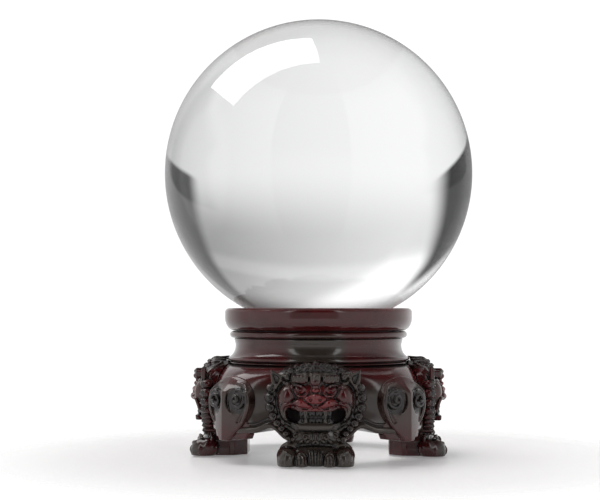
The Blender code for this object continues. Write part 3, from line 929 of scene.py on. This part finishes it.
def standWall(turn, gap=0.15):  # the drum and collar as a form; turn is the leg's own middle, in radians
    def form(u, w, z):
        radius = np.sqrt(u * u + w * w)
        angle = np.arctan2(w, u) + turn
        wall = np.where(z < drum["top"], drumRadius(angle, np.minimum(z, drum["top"])), collarRadius(z))
        under = np.where(z < drum["top"], apronHeight(angle), -50)
        return np.maximum(radius - wall - gap, under - gap - z)

    return form


# the lion leg. Outlines are in (u, z), and curls are (u, z, size)

lion = {
    "cell": 0.34, "foot": 0.7, "padHole": (5.3, 47, 1.3),
    "mass": ((0, 46.0), (6, 45.6), (11, 43.9), (15, 41.5), (17.6, 38.6), (19.4, 35.4), (20.0, 31),
             (19.8, 27.4), (18.6, 23.8), (16.2, 20.2), (13.4, 17.4), (11.8, 14.6), (12.0, 11.4), (13.2, 8),
             (0, 8)),
    "headPebbles": (  # centre, radii, tilt and blend: poll, crown, face, cheek, jowl, muzzle
        ((12.4, 49.4, 39.6), (5.2, 4.6, 4.0), 0, 1.5), ((0, 49.4, 38.6), (14.2, 7.6, 7.0), 0, 1.5),
        ((0, 52.2, 30.4), (12.8, 6.4, 11.6), 0, 1.5), ((12.5, 53.4, 31.0), (4.7, 5.7, 6.3), -12, 0.5),
        ((13.3, 52.8, 25.4), (3.1, 4.5, 5.6), 18, 1.2), ((5.8, 56.7, 28.5), (4.3, 3.1, 2.5), 0, 1.0)),
    "browPebbles": (  # centre, radii and blend, down the middle of the brow
        ((0, 59.0, 38.0), (2.2, 2.2, 1.7), 0.4), ((0, 60.1, 40.2), (1.0, 0.8, 1.0), 0.15),
        ((0, 58.5, 36.0), (1.5, 1.6, 0.8), 0.2), ((0, 58.8, 34.4), (1.9, 2.1, 1.35), 0.3)),
    "pawPebbles": (  # the same, for both feet, the outer toe and its heel, and the inner toe
        ((0, 52.0, 4.2), (14.6, 6.2, 6.0), 0.8), ((12.5, 54.6, 3.0), (4.8, 6.3, 6.0), 0.3),
        ((14.2, 52.0, 4.6), (3.4, 4.6, 4.4), 0.5), ((6.3, 55.8, 2.2), (3.2, 5.6, 5.5), 0.25)),
    "paw": ((0, 12.5), (11.6, 12.5), (12.9, 9), (13.4, 4), (13.2, -2), (0, -2)),
    "ear": ((20.2, 43.6), (17.6, 42.0), (14.6, 40.6), (14.8, 38.0), (17.2, 35.2), (20.0, 37.4)),
    "earHollow": ((19.3, 41.8), (16.6, 40.3), (16.2, 38.6), (17.8, 37.2)),
    "browBlock": ((10.8, 41.1), (3.1, 40.8), (2.9, 38.4), (4.6, 37.3), (10.4, 37.9)),
    "boss": ((0, 41.9), (2.0, 41.8), (2.4, 40.9), (2.4, 38.2), (1.9, 37.0), (0, 36.8)),
    "nose": ((0, 33.1), (1.6, 32.8), (4.9, 31.1), (4.3, 29.6), (2.5, 28.7), (0, 28.5)),
    "mouth": ((0, 25.1), (7.4, 25.1), (9.6, 26.2), (12.4, 26.6), (13.5, 24.8), (12.9, 22.2), (10.8, 20.1),
              (8.0, 19.6), (0, 19.4)),
    "gum": ((0, 26), (7.2, 26), (7.3, 19.2), (0, 19)),
    "chin": ((0, 19.9), (7.4, 19.9), (8.7, 20.9), (9.0, 19.8), (6.9, 17.0), (0, 16.8)),
    "maneCurls": ((19.9, 35.0, 2.2), (20.6, 30.9, 2.3), (20.4, 26.7, 2.2), (19.2, 22.9, 2.0),
                  (17.4, 19.9, 1.75), (15.4, 17.5, 1.5), (13.5, 15.2, 1.35), (12.5, 12.8, 1.2)),
    "crestCurls": ((1.4, 43.2, 1.3), (4.2, 43.1, 1.4), (7.0, 42.7, 1.4), (9.8, 42.1, 1.35), (12.4, 41.2, 1.2),
                   (0, 45.2, 1.2), (2.9, 45.2, 1.3), (5.8, 44.9, 1.3), (8.6, 44.3, 1.3), (11.3, 43.2, 1.2),
                   (13.6, 41.8, 1.0)),
    "neckCurls": ((4.6, 13.4, 2.1), (9.0, 14.0, 1.9)),
}


def headMasses(clay):
    slab(clay, lion["mass"], 40, 53.4, 3.0)
    for centre, radii, tilt, blend in lion["headPebbles"]:
        pebble(clay, centre, radii, tilt, blend=blend)
    for ridge in (8.2, 10.8, 13.2):  # hair that sweeps back over the head
        sweep = [(ridge + 3.4, 54.2, 39.4, 0.4), (ridge + 2.0, 53.0, 42.4, 0.55), (ridge, 50, 44.9, 0.6),
                 (ridge - 1, 46, 46.0, 0.5)]
        rope(clay, flow(sweep), "cut", 0.5)


def crest(clay):  # the tufts that lean on the collar, and the rows of knots under them
    for u, high, reach in ((0, 47.4, 42.9), (4.0, 46.6, 44.6), (7.8, 45.7, 45.6)):
        tip = (u * 1.2, reach, high + (0.3 if u == 0 else -0.3), 0.25)
        tuft = [(u, 53.2, high - 3.0, 0.8), (u * 1.05, 50.5, high - 1.3, 1.4),
                (u * 1.1, 47.5, high - 0.9, 1.1), tip]
        rope(clay, flow(tuft), blend=0.4)
    for u, z, size in lion["crestCurls"]:
        pebble(clay, (u, skinAt(clay, u, z) - 0.2, z), (size * 0.95, 0.9, size * 0.9), blend=0.2)


def ears(clay):
    upper = [(16.2, 54.0, 36.6, 0.8), (16.6, 52.2, 39.4, 1.3), (14.4, 49.6, 42.0, 1.4),
             (10.4, 46.4, 44.4, 0.9)]
    lower = [(17.6, 52.0, 36.8, 0.8), (17.4, 50.6, 38.8, 1.2), (15.4, 48.4, 40.8, 1.3),
             (12.0, 45.6, 43.2, 0.8)]
    for lock in (upper, lower):
        rope(clay, flow(lock), blend=0.7)
    slab(clay, lion["ear"], 52.9, 54.7, 0.8, blend=0.5)
    slab(clay, lion["earHollow"], 53.7, 60, 0.5, "cut", 0.5)
    edge = [(19.6, 42.6, 0.35, 0.1), (19.7, 40.4, 0.45, 0.1), (19.2, 37.6, 0.45, 0.1), (17.6, 35.9, 0.4, 0.1)]
    stroke(clay, edge)
    stroke(clay, [(15.6, 39.6, 0.5, 0.1), (16.3, 37.6, 0.5, 0.2), (17.2, 36.0, 0.4, 0.1)])
    stroke(clay, [(11.6, 39.2, 0.9, 0.1), (13.2, 40.0, 1.05, 0.4), (15.0, 41.2, 0.4, 0.5)], blend=0.25)
    stroke(clay, [(11.8, 37.1, 0.8, 0.1), (13.8, 37.6, 0.95, 0.3), (15.6, 38.9, 0.35, 0.3)], blend=0.25)


def brows(clay):
    slab(clay, lion["browBlock"], 53, 59.3, 1.0, blend=0.4)
    for u in (4.5, 6.1, 7.7, 9.3):
        groove = [(u + 0.9, 41.0, 0.32, 0.0), (u + 0.3, 39.4, 0.36, 0.0), (u - 0.7, 37.3, 0.34, 0.0)]
        stroke(clay, groove, "cut", 0.3)
    slab(clay, lion["boss"], 54, 60.2, 1.0, blend=0.3)
    for centre, radii, blend in lion["browPebbles"]:
        pebble(clay, centre, radii, blend=blend)


def eyes(clay):
    pebble(clay, (6.9, 60.2, 34.3), (3.9, 3.5, 2.6), tilt=-18, how="cut", blend=0.4)
    pebble(clay, (6.8, 56.5, 34.3), (2.8, 2.3, 1.85), tilt=-18, blend=0.15)
    lidAbove = [(3.5, 33.3, 0.45, 0.2), (5.0, 35.5, 0.6, 0.4), (7.4, 36.7, 0.65, 0.5), (10.3, 36.4, 0.5, 0.3)]
    stroke(clay, lidAbove, blend=0.2)
    lidBelow = [(3.5, 33.0, 0.45, 0.2), (4.9, 31.9, 0.5, 0.3), (7.2, 31.8, 0.55, 0.4), (9.3, 33.4, 0.55, 0.3),
                (10.4, 35.7, 0.45, 0.2)]
    stroke(clay, lidBelow, blend=0.2)
    stroke(clay, [(4.6, 30.9, 0.4, 0.0), (6.8, 30.3, 0.5, 0.1), (9.2, 31.4, 0.4, 0.0)], blend=0.3)
    stroke(clay, [(6.4, 34.6, 0.5, 0.1), (6.9, 34.5, 0.5, 0.1), (7.3, 34.5, 0.5, 0.1)], blend=0.1)


def muzzle(clay):
    slab(clay, lion["nose"], 54, 61.0, 1.1, blend=0.4)
    pebble(clay, (3.3, 58.8, 30.5), (1.9, 2.3, 1.35), blend=0.4)
    pebble(clay, (2.1, 61.4, 30.3), (0.95, 1.3, 0.75), how="cut", blend=0.4)
    pebble(clay, (0, 60.2, 31.6), (1.2, 1.5, 1.4), blend=0.5)
    pad = [(9.6, 28.2, 0.8, 0.1), (8.0, 29.0, 1.3, 0.3), (6.0, 28.7, 1.55, 0.5), (4.0, 27.7, 1.25, 0.4),
           (2.0, 27.1, 0.8, 0.2)]
    stroke(clay, pad, blend=0.3)
    for z, size in ((27.5, 0.65), (26.4, 0.7)):
        pebble(clay, (0, skinAt(clay, 0, z) + 0.3, z), (size, size, size * 0.8), blend=0.2)
    lip = [(-1.5, 25.9, 0.7, 0.2), (1.5, 25.8, 0.75, 0.2), (4.5, 25.6, 0.85, 0.2), (7.4, 25.9, 0.85, 0.2),
           (10.2, 26.8, 0.7, 0.2)]
    stroke(clay, lip, blend=0.3)
    stroke(clay, [(1.4, 26.7, 0.25, 0.0), (5.5, 26.6, 0.3, 0.0), (9.4, 27.5, 0.25, 0.0)], "cut", 0.25)
    stroke(clay, [(11.6, 35.0, 0.4, 0.1), (10.7, 32.9, 0.55, 0.2), (9.3, 30.4, 0.4, 0.1)], blend=0.25)
    stroke(clay, [(10.6, 35.0, 0.5, -0.1), (9.8, 32.9, 0.5, -0.1), (8.7, 30.8, 0.4, -0.1)], "cut", 0.35)


def mouthCorner(clay):
    outer = [(9.0, 28.9, 0.5, 0.1), (12.0, 28.5, 0.8, 0.3), (14.3, 27.5, 0.9, 0.4), (14.9, 25.4, 0.85, 0.4),
             (14.2, 23.2, 0.8, 0.3), (12.4, 21.0, 0.75, 0.3), (10.2, 19.4, 0.65, 0.2), (8.2, 18.2, 0.5, 0.1)]
    stroke(clay, [(u * 1.06, z + 0.3, 0.5, -0.1) for u, z, _, _ in outer], "cut", 0.4)
    stroke(clay, outer, blend=0.25)


def jaws(clay):
    slab(clay, lion["chin"], 48, 59.3, 0.8, blend=0.4)
    slab(clay, lion["mouth"], 49.0, 72, 0.8, "cut", 0.3)

    def tongue(u, w, z):  # a floor that slopes up into the back of the mouth
        return np.maximum(np.maximum(w - 49.8 - (25.5 - z) * 0.4, u - 13.4), np.maximum(z - 26, 19 - z))

    press(clay, tongue, (0, 45, 19), (13.4, 52.4, 26), blend=0.4)
    slab(clay, lion["gum"], 48, 57.0, 0.7, blend=0.3)
    for u, size in ((0.8, 0.8), (2.4, 0.85), (6.2, 1.1)):
        pebble(clay, (u, 57.2, 24.2), (size, 0.9, 1.5), blend=0.3)
        pebble(clay, (u, 57.0, 21.0), (size, 0.9, 1.4), blend=0.3)
    rope(clay, [(4.2, 57.4, 25.4, 1.05), (4.4, 58.0, 23.8, 0.85), (4.5, 58.2, 22.4, 0.3)], blend=0.1)
    rope(clay, [(4.2, 57.2, 19.8, 1.0), (4.3, 57.9, 21.2, 0.8), (4.4, 58.1, 22.3, 0.3)], blend=0.1)
    gumLine = [(-2, 58.2, 19.5, 0.6), (2, 58.2, 19.5, 0.6), (5, 57.9, 19.7, 0.6), (7.5, 57.2, 20.4, 0.55)]
    rope(clay, flow(gumLine), blend=0.3)
    pebble(clay, (0, 61.3, 14.2), (9.2, 5.2, 3.0), lean=24, how="cut", blend=0.5)


def maneBand(clay):  # the smooth fold between the face and the mane, notched, and a lump for each curl
    band = [(17.6, 36.4, 0.9, -0.2), (18.4, 33.4, 1.15, -0.2), (18.6, 29.4, 1.2, -0.2),
            (18.0, 25.4, 1.25, -0.2), (16.5, 21.8, 1.25, -0.1), (14.0, 18.7, 1.1, -0.1),
            (11.0, 16.6, 0.8, -0.2)]
    stroke(clay, band, blend=0.3)
    stroke(clay, [(u - 1.6, z + 0.4, 0.4, 0.0) for u, z, _, _ in band], "cut", 0.3)
    for u, z, size in lion["maneCurls"]:
        pebble(clay, (u, 52.4, z), (size * 1.1, 2.9, size * 1.02), blend=0.2)


def beard(clay):
    pebble(clay, (0, 49.8, 13.2), (13.0, 5.3, 6.0), blend=0.8)
    stroke(clay, [(0, 16.2, 0.4, 0.2), (0, 14.4, 0.6, 0.5), (0, 12.0, 0.3, 0.2)], blend=0.2)
    stroke(clay, [(1.7, 15.4, 0.35, 0.1), (2.0, 13.6, 0.45, 0.2), (1.5, 11.8, 0.3, 0.1)], blend=0.2)
    for u, z, size in ((0.9, 10.9, 0.75), (3.6, 11.2, 0.85), (6.6, 11.2, 0.95), (10.8, 11.5, 1.4)):
        lock = [(u - 0.9, z + 1.1, size * 0.6, 0.2), (u, z + 0.2, size * 0.8, 0.5),
                (u + 1.1, z - 0.8, size * 0.3, 0.6)]
        stroke(clay, lock, blend=0.15)


def paws(clay):
    slab(clay, lion["paw"], 34, 53, 1.2, blend=0.6)

    def flank(u, w, z):  # the leg narrows towards the drum
        return (13.0 - np.maximum(40 - w, 0) * 0.85 - u) * 0.75 + 0 * z

    press(clay, flank, (6, 33, -2), (15, 41, 13), "cut", 0.3)
    for centre, radii, blend in lion["pawPebbles"]:
        pebble(clay, centre, radii, blend=blend)
    arch = [(4.4, 0.8, 0.32, 0.0), (4.4, 4.6, 0.36, 0.0), (5.2, 6.0, 0.38, 0.0), (6.6, 6.4, 0.38, 0.0),
            (7.8, 5.4, 0.36, 0.0), (8.2, 3, 0.34, 0.0), (8.1, 0.8, 0.3, 0.0)]
    stroke(clay, arch, "cut", 0.3)
    for u in (5.5, 7.1):
        stroke(clay, [(u, 5.3, 0.45, 0.1), (u, 3.4, 0.6, 0.3), (u, 1.2, 0.35, 0.1)], blend=0.2)
    for u, size in ((0, 0.55), (1.4, 0.5), (2.6, 0.4)):
        strand = [(u, 8.0, size * 0.7, 0.3), (u * 0.95, 5, size, 1.4), (u * 0.8, 1.6, size * 0.7, 1.0)]
        stroke(clay, strand, blend=0.2)
    knuckle = [(14.2, 7.6, 0.5, 0.1), (12.4, 6.8, 0.6, 0.2), (10.8, 5.6, 0.45, 0.1)]
    stroke(clay, knuckle, blend=0.3)
    for u, high in ((14.2, 4.6), (11.6, 4.0)):
        stroke(clay, [(u, high, 0.2, 0.0), (u + 0.1, 2.8, 0.3, 0.0), (u - 0.1, 1.0, 0.2, 0.0)], "cut", 0.35)
    hook = [(12.6, 50.6, 10.8, 0.6), (15.2, 50.2, 8.6, 0.8), (16.2, 50.6, 5.4, 0.75), (15.4, 52.6, 2.6, 0.4)]
    rope(clay, flow(hook), blend=0.3)
    cuff = [(15.2, 54.6, 9.2, 0.4), (13.4, 56.0, 10.2, 0.75), (10.6, 56.6, 10.0, 0.7), (9.0, 56.6, 9.0, 0.4)]
    rope(clay, flow(cuff), blend=0.3)


curls = {"resolution": 20, "start": 0.1, "end": 0.74, "height": -0.5, "taper": (0.75, 1.0, 1.0, 0.35),
         "sides": 8, "turns": 1.3, "wire": 0.31,
         "rows": (("maneCurls", -20), ("crestCurls", 60), ("neckCurls", 100))}  # and how far each row is spun


def curlTree():  # a spiral lock on every point, scaled by its own size and turned to its own facing
    tree, start = groupTree("curls", {"Turns": "Float", "Wire": "Float"})
    spiral = put(tree, "GeometryNodeCurveSpiral", Resolution=curls["resolution"], Start_Radius=curls["start"],
                 End_Radius=curls["end"], Height=curls["height"])
    join(tree, start.outputs["Turns"], spiral.inputs["Rotations"])
    along = put(tree, "GeometryNodeSplineParameter").outputs["Factor"]
    girth = product(tree, smooth(tree, along, *curls["taper"]), start.outputs["Wire"])
    ring = put(tree, "GeometryNodeCurvePrimitiveCircle", Resolution=curls["sides"], Radius=1.0)
    tube = put(tree, "GeometryNodeCurveToMesh", Fill_Caps=True)
    join(tree, spiral.outputs[0], tube.inputs["Curve"])
    join(tree, ring.outputs[0], tube.inputs["Profile Curve"])
    join(tree, girth, tube.inputs["Scale"])
    scatter = put(tree, "GeometryNodeInstanceOnPoints")
    join(tree, start.outputs["Geometry"], scatter.inputs["Points"])
    join(tree, tube.outputs[0], scatter.inputs["Instance"])
    for name, kind, socket in (("facing", "FLOAT_VECTOR", "Rotation"), ("size", "FLOAT", "Scale")):
        named = put(tree, "GeometryNodeInputNamedAttribute", data_type=kind, Name=name)
        join(tree, named.outputs[0], scatter.inputs[socket])
    closeTree(tree, start, scatter.outputs[0])
    return tree


def slopeAt(clay, u, z, reach=0.7):  # which way the clay's skin faces at a place of its front
    across = (skinAt(clay, u + reach, z) - skinAt(clay, abs(u - reach), z)) / (2 * reach)
    upward = (skinAt(clay, u, z + reach) - skinAt(clay, u, z - reach)) / (2 * reach)
    return Vector((-across, 1, -upward)).normalized()


def modelCurls(clay, tree):  # one mesh of all the lion's locks
    points = bpy.data.meshes.new("locks")
    places, turns, sizes = [], [], []
    for row, angle in curls["rows"]:
        for u, z, size in lion[row]:
            facing = slopeAt(clay, u, z)
            if row == "maneCurls":
                facing = (facing + Vector((0.5, 1.0, 0))).normalized()
            w = skinAt(clay, u, z) + (0.6 if row == "neckCurls" else 0)
            places.append((u * mm, (w - 0.05) * mm, z * mm))
            spin = Matrix.Rotation(math.radians(angle), 3, "Z")
            turns.append((facing.to_track_quat("Z", "Y").to_matrix() @ spin).to_euler())
            sizes.append(size * mm)
    points.from_pydata(places, [], [])
    points.attributes.new("facing", "FLOAT_VECTOR", "POINT").data.foreach_set("vector", np.ravel(turns))
    points.attributes.new("size", "FLOAT", "POINT").data.foreach_set("value", sizes)
    half = runTree(addObject("locks", points), tree, Turns=curls["turns"], Wire=curls["wire"],
                   Finish=castResin)
    other = half.copy()
    other.transform(Matrix.Diagonal((-1, 1, 1, 1)))
    other.flip_normals()
    whole = bmesh.new()
    for part in (half, other):
        whole.from_mesh(part)
        bpy.data.meshes.remove(part)
    return meshOf(whole, "locks")


# patches of paint; hair is the crest under the collar and mane the mane's outer faces, both darkened as
# painted shade
lionPaint = {"bare": (15.5, 30.2, 8.0), "rubbed": (9.2, 30.6, 5.6), "mouth": (18.8, 25.5, 13.6, 58.8),
             "hair": (41.4, 58.5), "mane": (12, 36.5, 19.3)}


def outward(slope):  # how much a place faces outwards, where the spray reached it
    return softStep((slope + 0.1) / 0.7)


def paintLion(mesh, points, normals, shadeAndAntique):  # sprayed black, with the red rubbed through on the face, and painted shade deep in the mouth, on the crest and on the mane
    u, w, z = points.T
    u = np.abs(u)
    facing = outward(normals[:, 1])

    def oval(name):  # how far a place lies from the middle of a painted patch, as a share of its reach
        reach, height, rise = lionPaint[name]
        return np.sqrt((u / reach) ** 2 + ((z - height) / rise) ** 2)

    bare = softStep((1.3 - oval("bare")) / 0.45)
    rubbed = softStep((1.2 - oval("rubbed")) / 0.6)
    low, high, side, depth = lionPaint["mouth"]
    mouth = softStep((high - z) / 0.7) * softStep((z - low) / 0.8) * softStep((side - u) / 1.0)
    # painted shade deep in the mouth, reaching out over the teeth
    deep = mouth * softStep((depth - w) / 1.2)
    # painted shade on the crest, under the collar's flare
    low, depth = lionPaint["hair"]
    hair = softStep((z - low) / 1.4) * softStep((depth - w) / 1.0)
    # painted shade on the mane's outward faces
    low, high, side = lionPaint["mane"]
    mane = softStep((u - side) / 1.2) * softStep((z - low) / 2) * softStep((high - z) / 2) * facing
    floatAttribute(mesh, "shadeAndAntique", np.maximum(np.maximum(shadeAndAntique, deep), np.maximum(hair, mane) * 0.66))
    floatAttribute(mesh, "soot", np.maximum(facing * (1 - bare) * 0.94, mouth * 0.95))
    floatAttribute(mesh, "rouge", rubbed * facing)


def modelLion(tree):
    clay = block((0, 33.2, -1.2), (24.6, 63.2, 50.2), lion["cell"])
    for step in (headMasses, ears, crest, brows, eyes, muzzle, mouthCorner, jaws, maneBand, beard, paws):
        step(clay)
    locks = modelCurls(clay, tree)
    carve(clay, standWall(0))
    carve(clay, lambda u, w, z: z - lion["foot"] + 0 * u * w, 0.2)

    def padHole(u, w, z):
        radius, place, depth = lion["padHole"]
        return np.maximum(np.sqrt(u * u + (w - place) ** 2) - radius, z - depth)

    carve(clay, padHole, 0.1)
    mesh, points, normals, shadeAndAntique = skin(clay, "lion")
    paintLion(mesh, points, normals, shadeAndAntique)
    return mesh, locks


def turned180(angle):  # from the maker's frame, +w outwards, to the stand's, where the front faces -Y
    return Matrix.Rotation(math.radians(180 + angle), 4, "Z")


def makeLegs():
    lionMesh, locksMesh = modelLion(curlTree())
    places = vertexPlaces(locksMesh)
    normals = np.empty(len(places) * 3)
    locksMesh.vertex_normals.foreach_get("vector", normals)
    facing = outward(normals[1::3])
    # painted shade and antiquing on the locks, heavier above the neck and where they face outwards
    floatAttribute(locksMesh, "shadeAndAntique", np.where(places[:, 2] > 15, 0.62, 0.3) * facing)
    floatAttribute(locksMesh, "soot", 0.4 + 0.5 * facing)
    for i, side in enumerate(sides):
        for name, source in (("lion_", lionMesh), ("lion_locks_", locksMesh)):
            mesh = source.copy()
            mesh.transform(turned180(90 * i))
            mesh.shade_smooth()
            nodes = ["lion_leg_" + side] if source is lionMesh else []
            addPiece(name + side, mesh, castResin, "stand", "resin", *nodes)
    bpy.data.meshes.remove(lionMesh)
    bpy.data.meshes.remove(locksMesh)


makeLegs()
print("lion legs modelled")


# the corner pendants: a keeled shield with a spiral on each of its two faces

keel = {
    "cell": 0.27, "room": ((0, 49, 8.6), (17.2, 64, 41)), "radius": 61, "back": 51,
    "fall": (0.25, 0.0083),  # how each face falls away from the corner: its slope and its bow
    "lean": (31.5, 9, 7.2),  # where it starts to lean in, over what height, and how far
    "shield": ((4.2, 39.6), (8.4, 38.3), (11.4, 36.0), (13.2, 32.6), (13.7, 29.2), (13.3, 25.6), (12.0, 21.8),
               (9.9, 18.4), (7.0, 15.0), (3.6, 11.4)),
    "block": ((0, 20), (10, 20), (11.9, 18.4), (11.8, 14.6), (10.2, 11.6), (3.2, 11.0), (0, 11.0)),
    "scroll": (7.6, 29.2, 4.2),
    "winding": {"points": 22, "start": 100, "turns": 1.6, "inward": 0.86, "wire": 0.2, "taper": 0.25,
                "lift": 0.1, "rise": 1.1},
    "skirt": 0.95,  # how far its thin upper edge stands off the drum's shoulder
}


def keelFace(u, z, back=0.0):  # two concave faces that meet at the corner and sink into the drum's shoulder
    start, reach, lean = keel["lean"]
    slope, bow = keel["fall"]
    return keel["radius"] - slope * u - bow * u * u - softStep((z - start) / reach) * lean - back


def shieldFace(u, w, z):  # the same faces, but never under the drum's skin
    radius = np.sqrt(u * u + w * w)
    proud = radius - drumRadius(np.arctan2(w, u) + math.pi / 4, np.clip(z, 0, drum["top"])) - keel["skirt"]
    return blendMin(w - keelFace(u, z), proud, 1.6)


def modelKeel():
    clay = block(*keel["room"], keel["cell"])
    slab(clay, keel["block"], 40, 80, 1.6)
    carve(clay, lambda u, w, z: (keelFace(u, z, 1.9) - w) * 0.97, 0.6)
    shield = block(*keel["room"], keel["cell"])
    edge = [tuple(point) for point in flow(keel["shield"], 4)]
    slab(shield, [(0, 40.0), *edge, (3.2, 10.6), (0, 10.6)], 40, 80, 0.3)
    carve(shield, lambda u, w, z: -shieldFace(u, w, z) * 0.97, 0.8)
    clay["depth"] = np.minimum(clay["depth"], shield["depth"])
    u, z, size = keel["scroll"]
    pebble(clay, (u + 0.2, keelFace(u, z) + 0.9, z), (size + 2.0, 2.0, size + 2.4), how="cut", blend=1.2)
    ridge = [(5.4, 36.8, 0.3, -0.2), (8.8, 36.2, 0.6, 0.0), (11.2, 34.0, 0.8, 0.1), (12.5, 31.4, 1.0, 0.2),
             (12.9, 28.6, 1.15, 0.3), (12.6, 25.4, 1.15, 0.3), (11.6, 22.4, 0.9, 0.2), (10.2, 19.8, 0.5, 0.0)]
    stroke(clay, [(a - 2.0, b - 0.2, 0.8, 0.1) for a, b, _, _ in ridge[2:]], "cut", 0.8)
    stroke(clay, ridge, blend=0.8)
    pebble(clay, (u, skinAt(clay, u, z) - 0.6, z), (size * 0.95, 1.9, size), blend=0.6)
    curl(clay, u, z, size * 1.08, keel["winding"])
    carve(clay, standWall(math.pi / 4))
    carve(clay, lambda u, w, z: w - keel["back"] + 0 * u * z, 0.2)
    mesh, points, normals, shadeAndAntique = skin(clay, "keel")
    away = np.sqrt((np.abs(points[:, 0]) - u) ** 2 + (points[:, 2] - z) ** 2)
    spray = softStep((11 - away) / 6) * 0.9
    # painted shade and antiquing in the bowl round the scroll
    floatAttribute(mesh, "shadeAndAntique", np.maximum(shadeAndAntique, softStep((7.5 - away) / 2.5) * 0.75))
    middle = softStep((36 - points[:, 2]) / 5) * softStep((points[:, 2] - 13) / 8)
    floatAttribute(mesh, "soot", np.maximum(spray, middle * 0.6))
    return mesh


def makeKeels():
    keelMesh = modelKeel()
    for i, corner in enumerate(corners):
        mesh = keelMesh.copy()
        mesh.transform(turned180(90 * i + 45))
        mesh.shade_smooth()
        addPiece("keel_piece_" + corner, mesh, castResin, "stand", "resin", "keel_" + corner)
    bpy.data.meshes.remove(keelMesh)


makeKeels()
print("corner pendants modelled")


def makePads():  # felt under the feet
    for side in sides:
        low, high = (Vector(corner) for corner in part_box("foot_pad_" + side))
        shape = bmesh.new()
        radius = (high.x - low.x) / 2
        bmesh.ops.create_cone(shape, cap_ends=True, segments=72, radius1=radius, radius2=radius,
                              depth=high.z - low.z)
        bmesh.ops.bevel(shape, geom=shape.edges[:], offset=0.00025, segments=3, affect="EDGES")
        bmesh.ops.translate(shape, vec=(low + high) / 2, verts=shape.verts)
        mesh = meshOf(shape, "pad")
        mesh.shade_smooth()
        mesh.set_sharp_from_angle(angle=math.radians(40))
        addPiece("felt_" + side, mesh, blackFelt, "stand", "felt", "foot_pad_" + side)


makePads()
print("pads laid")
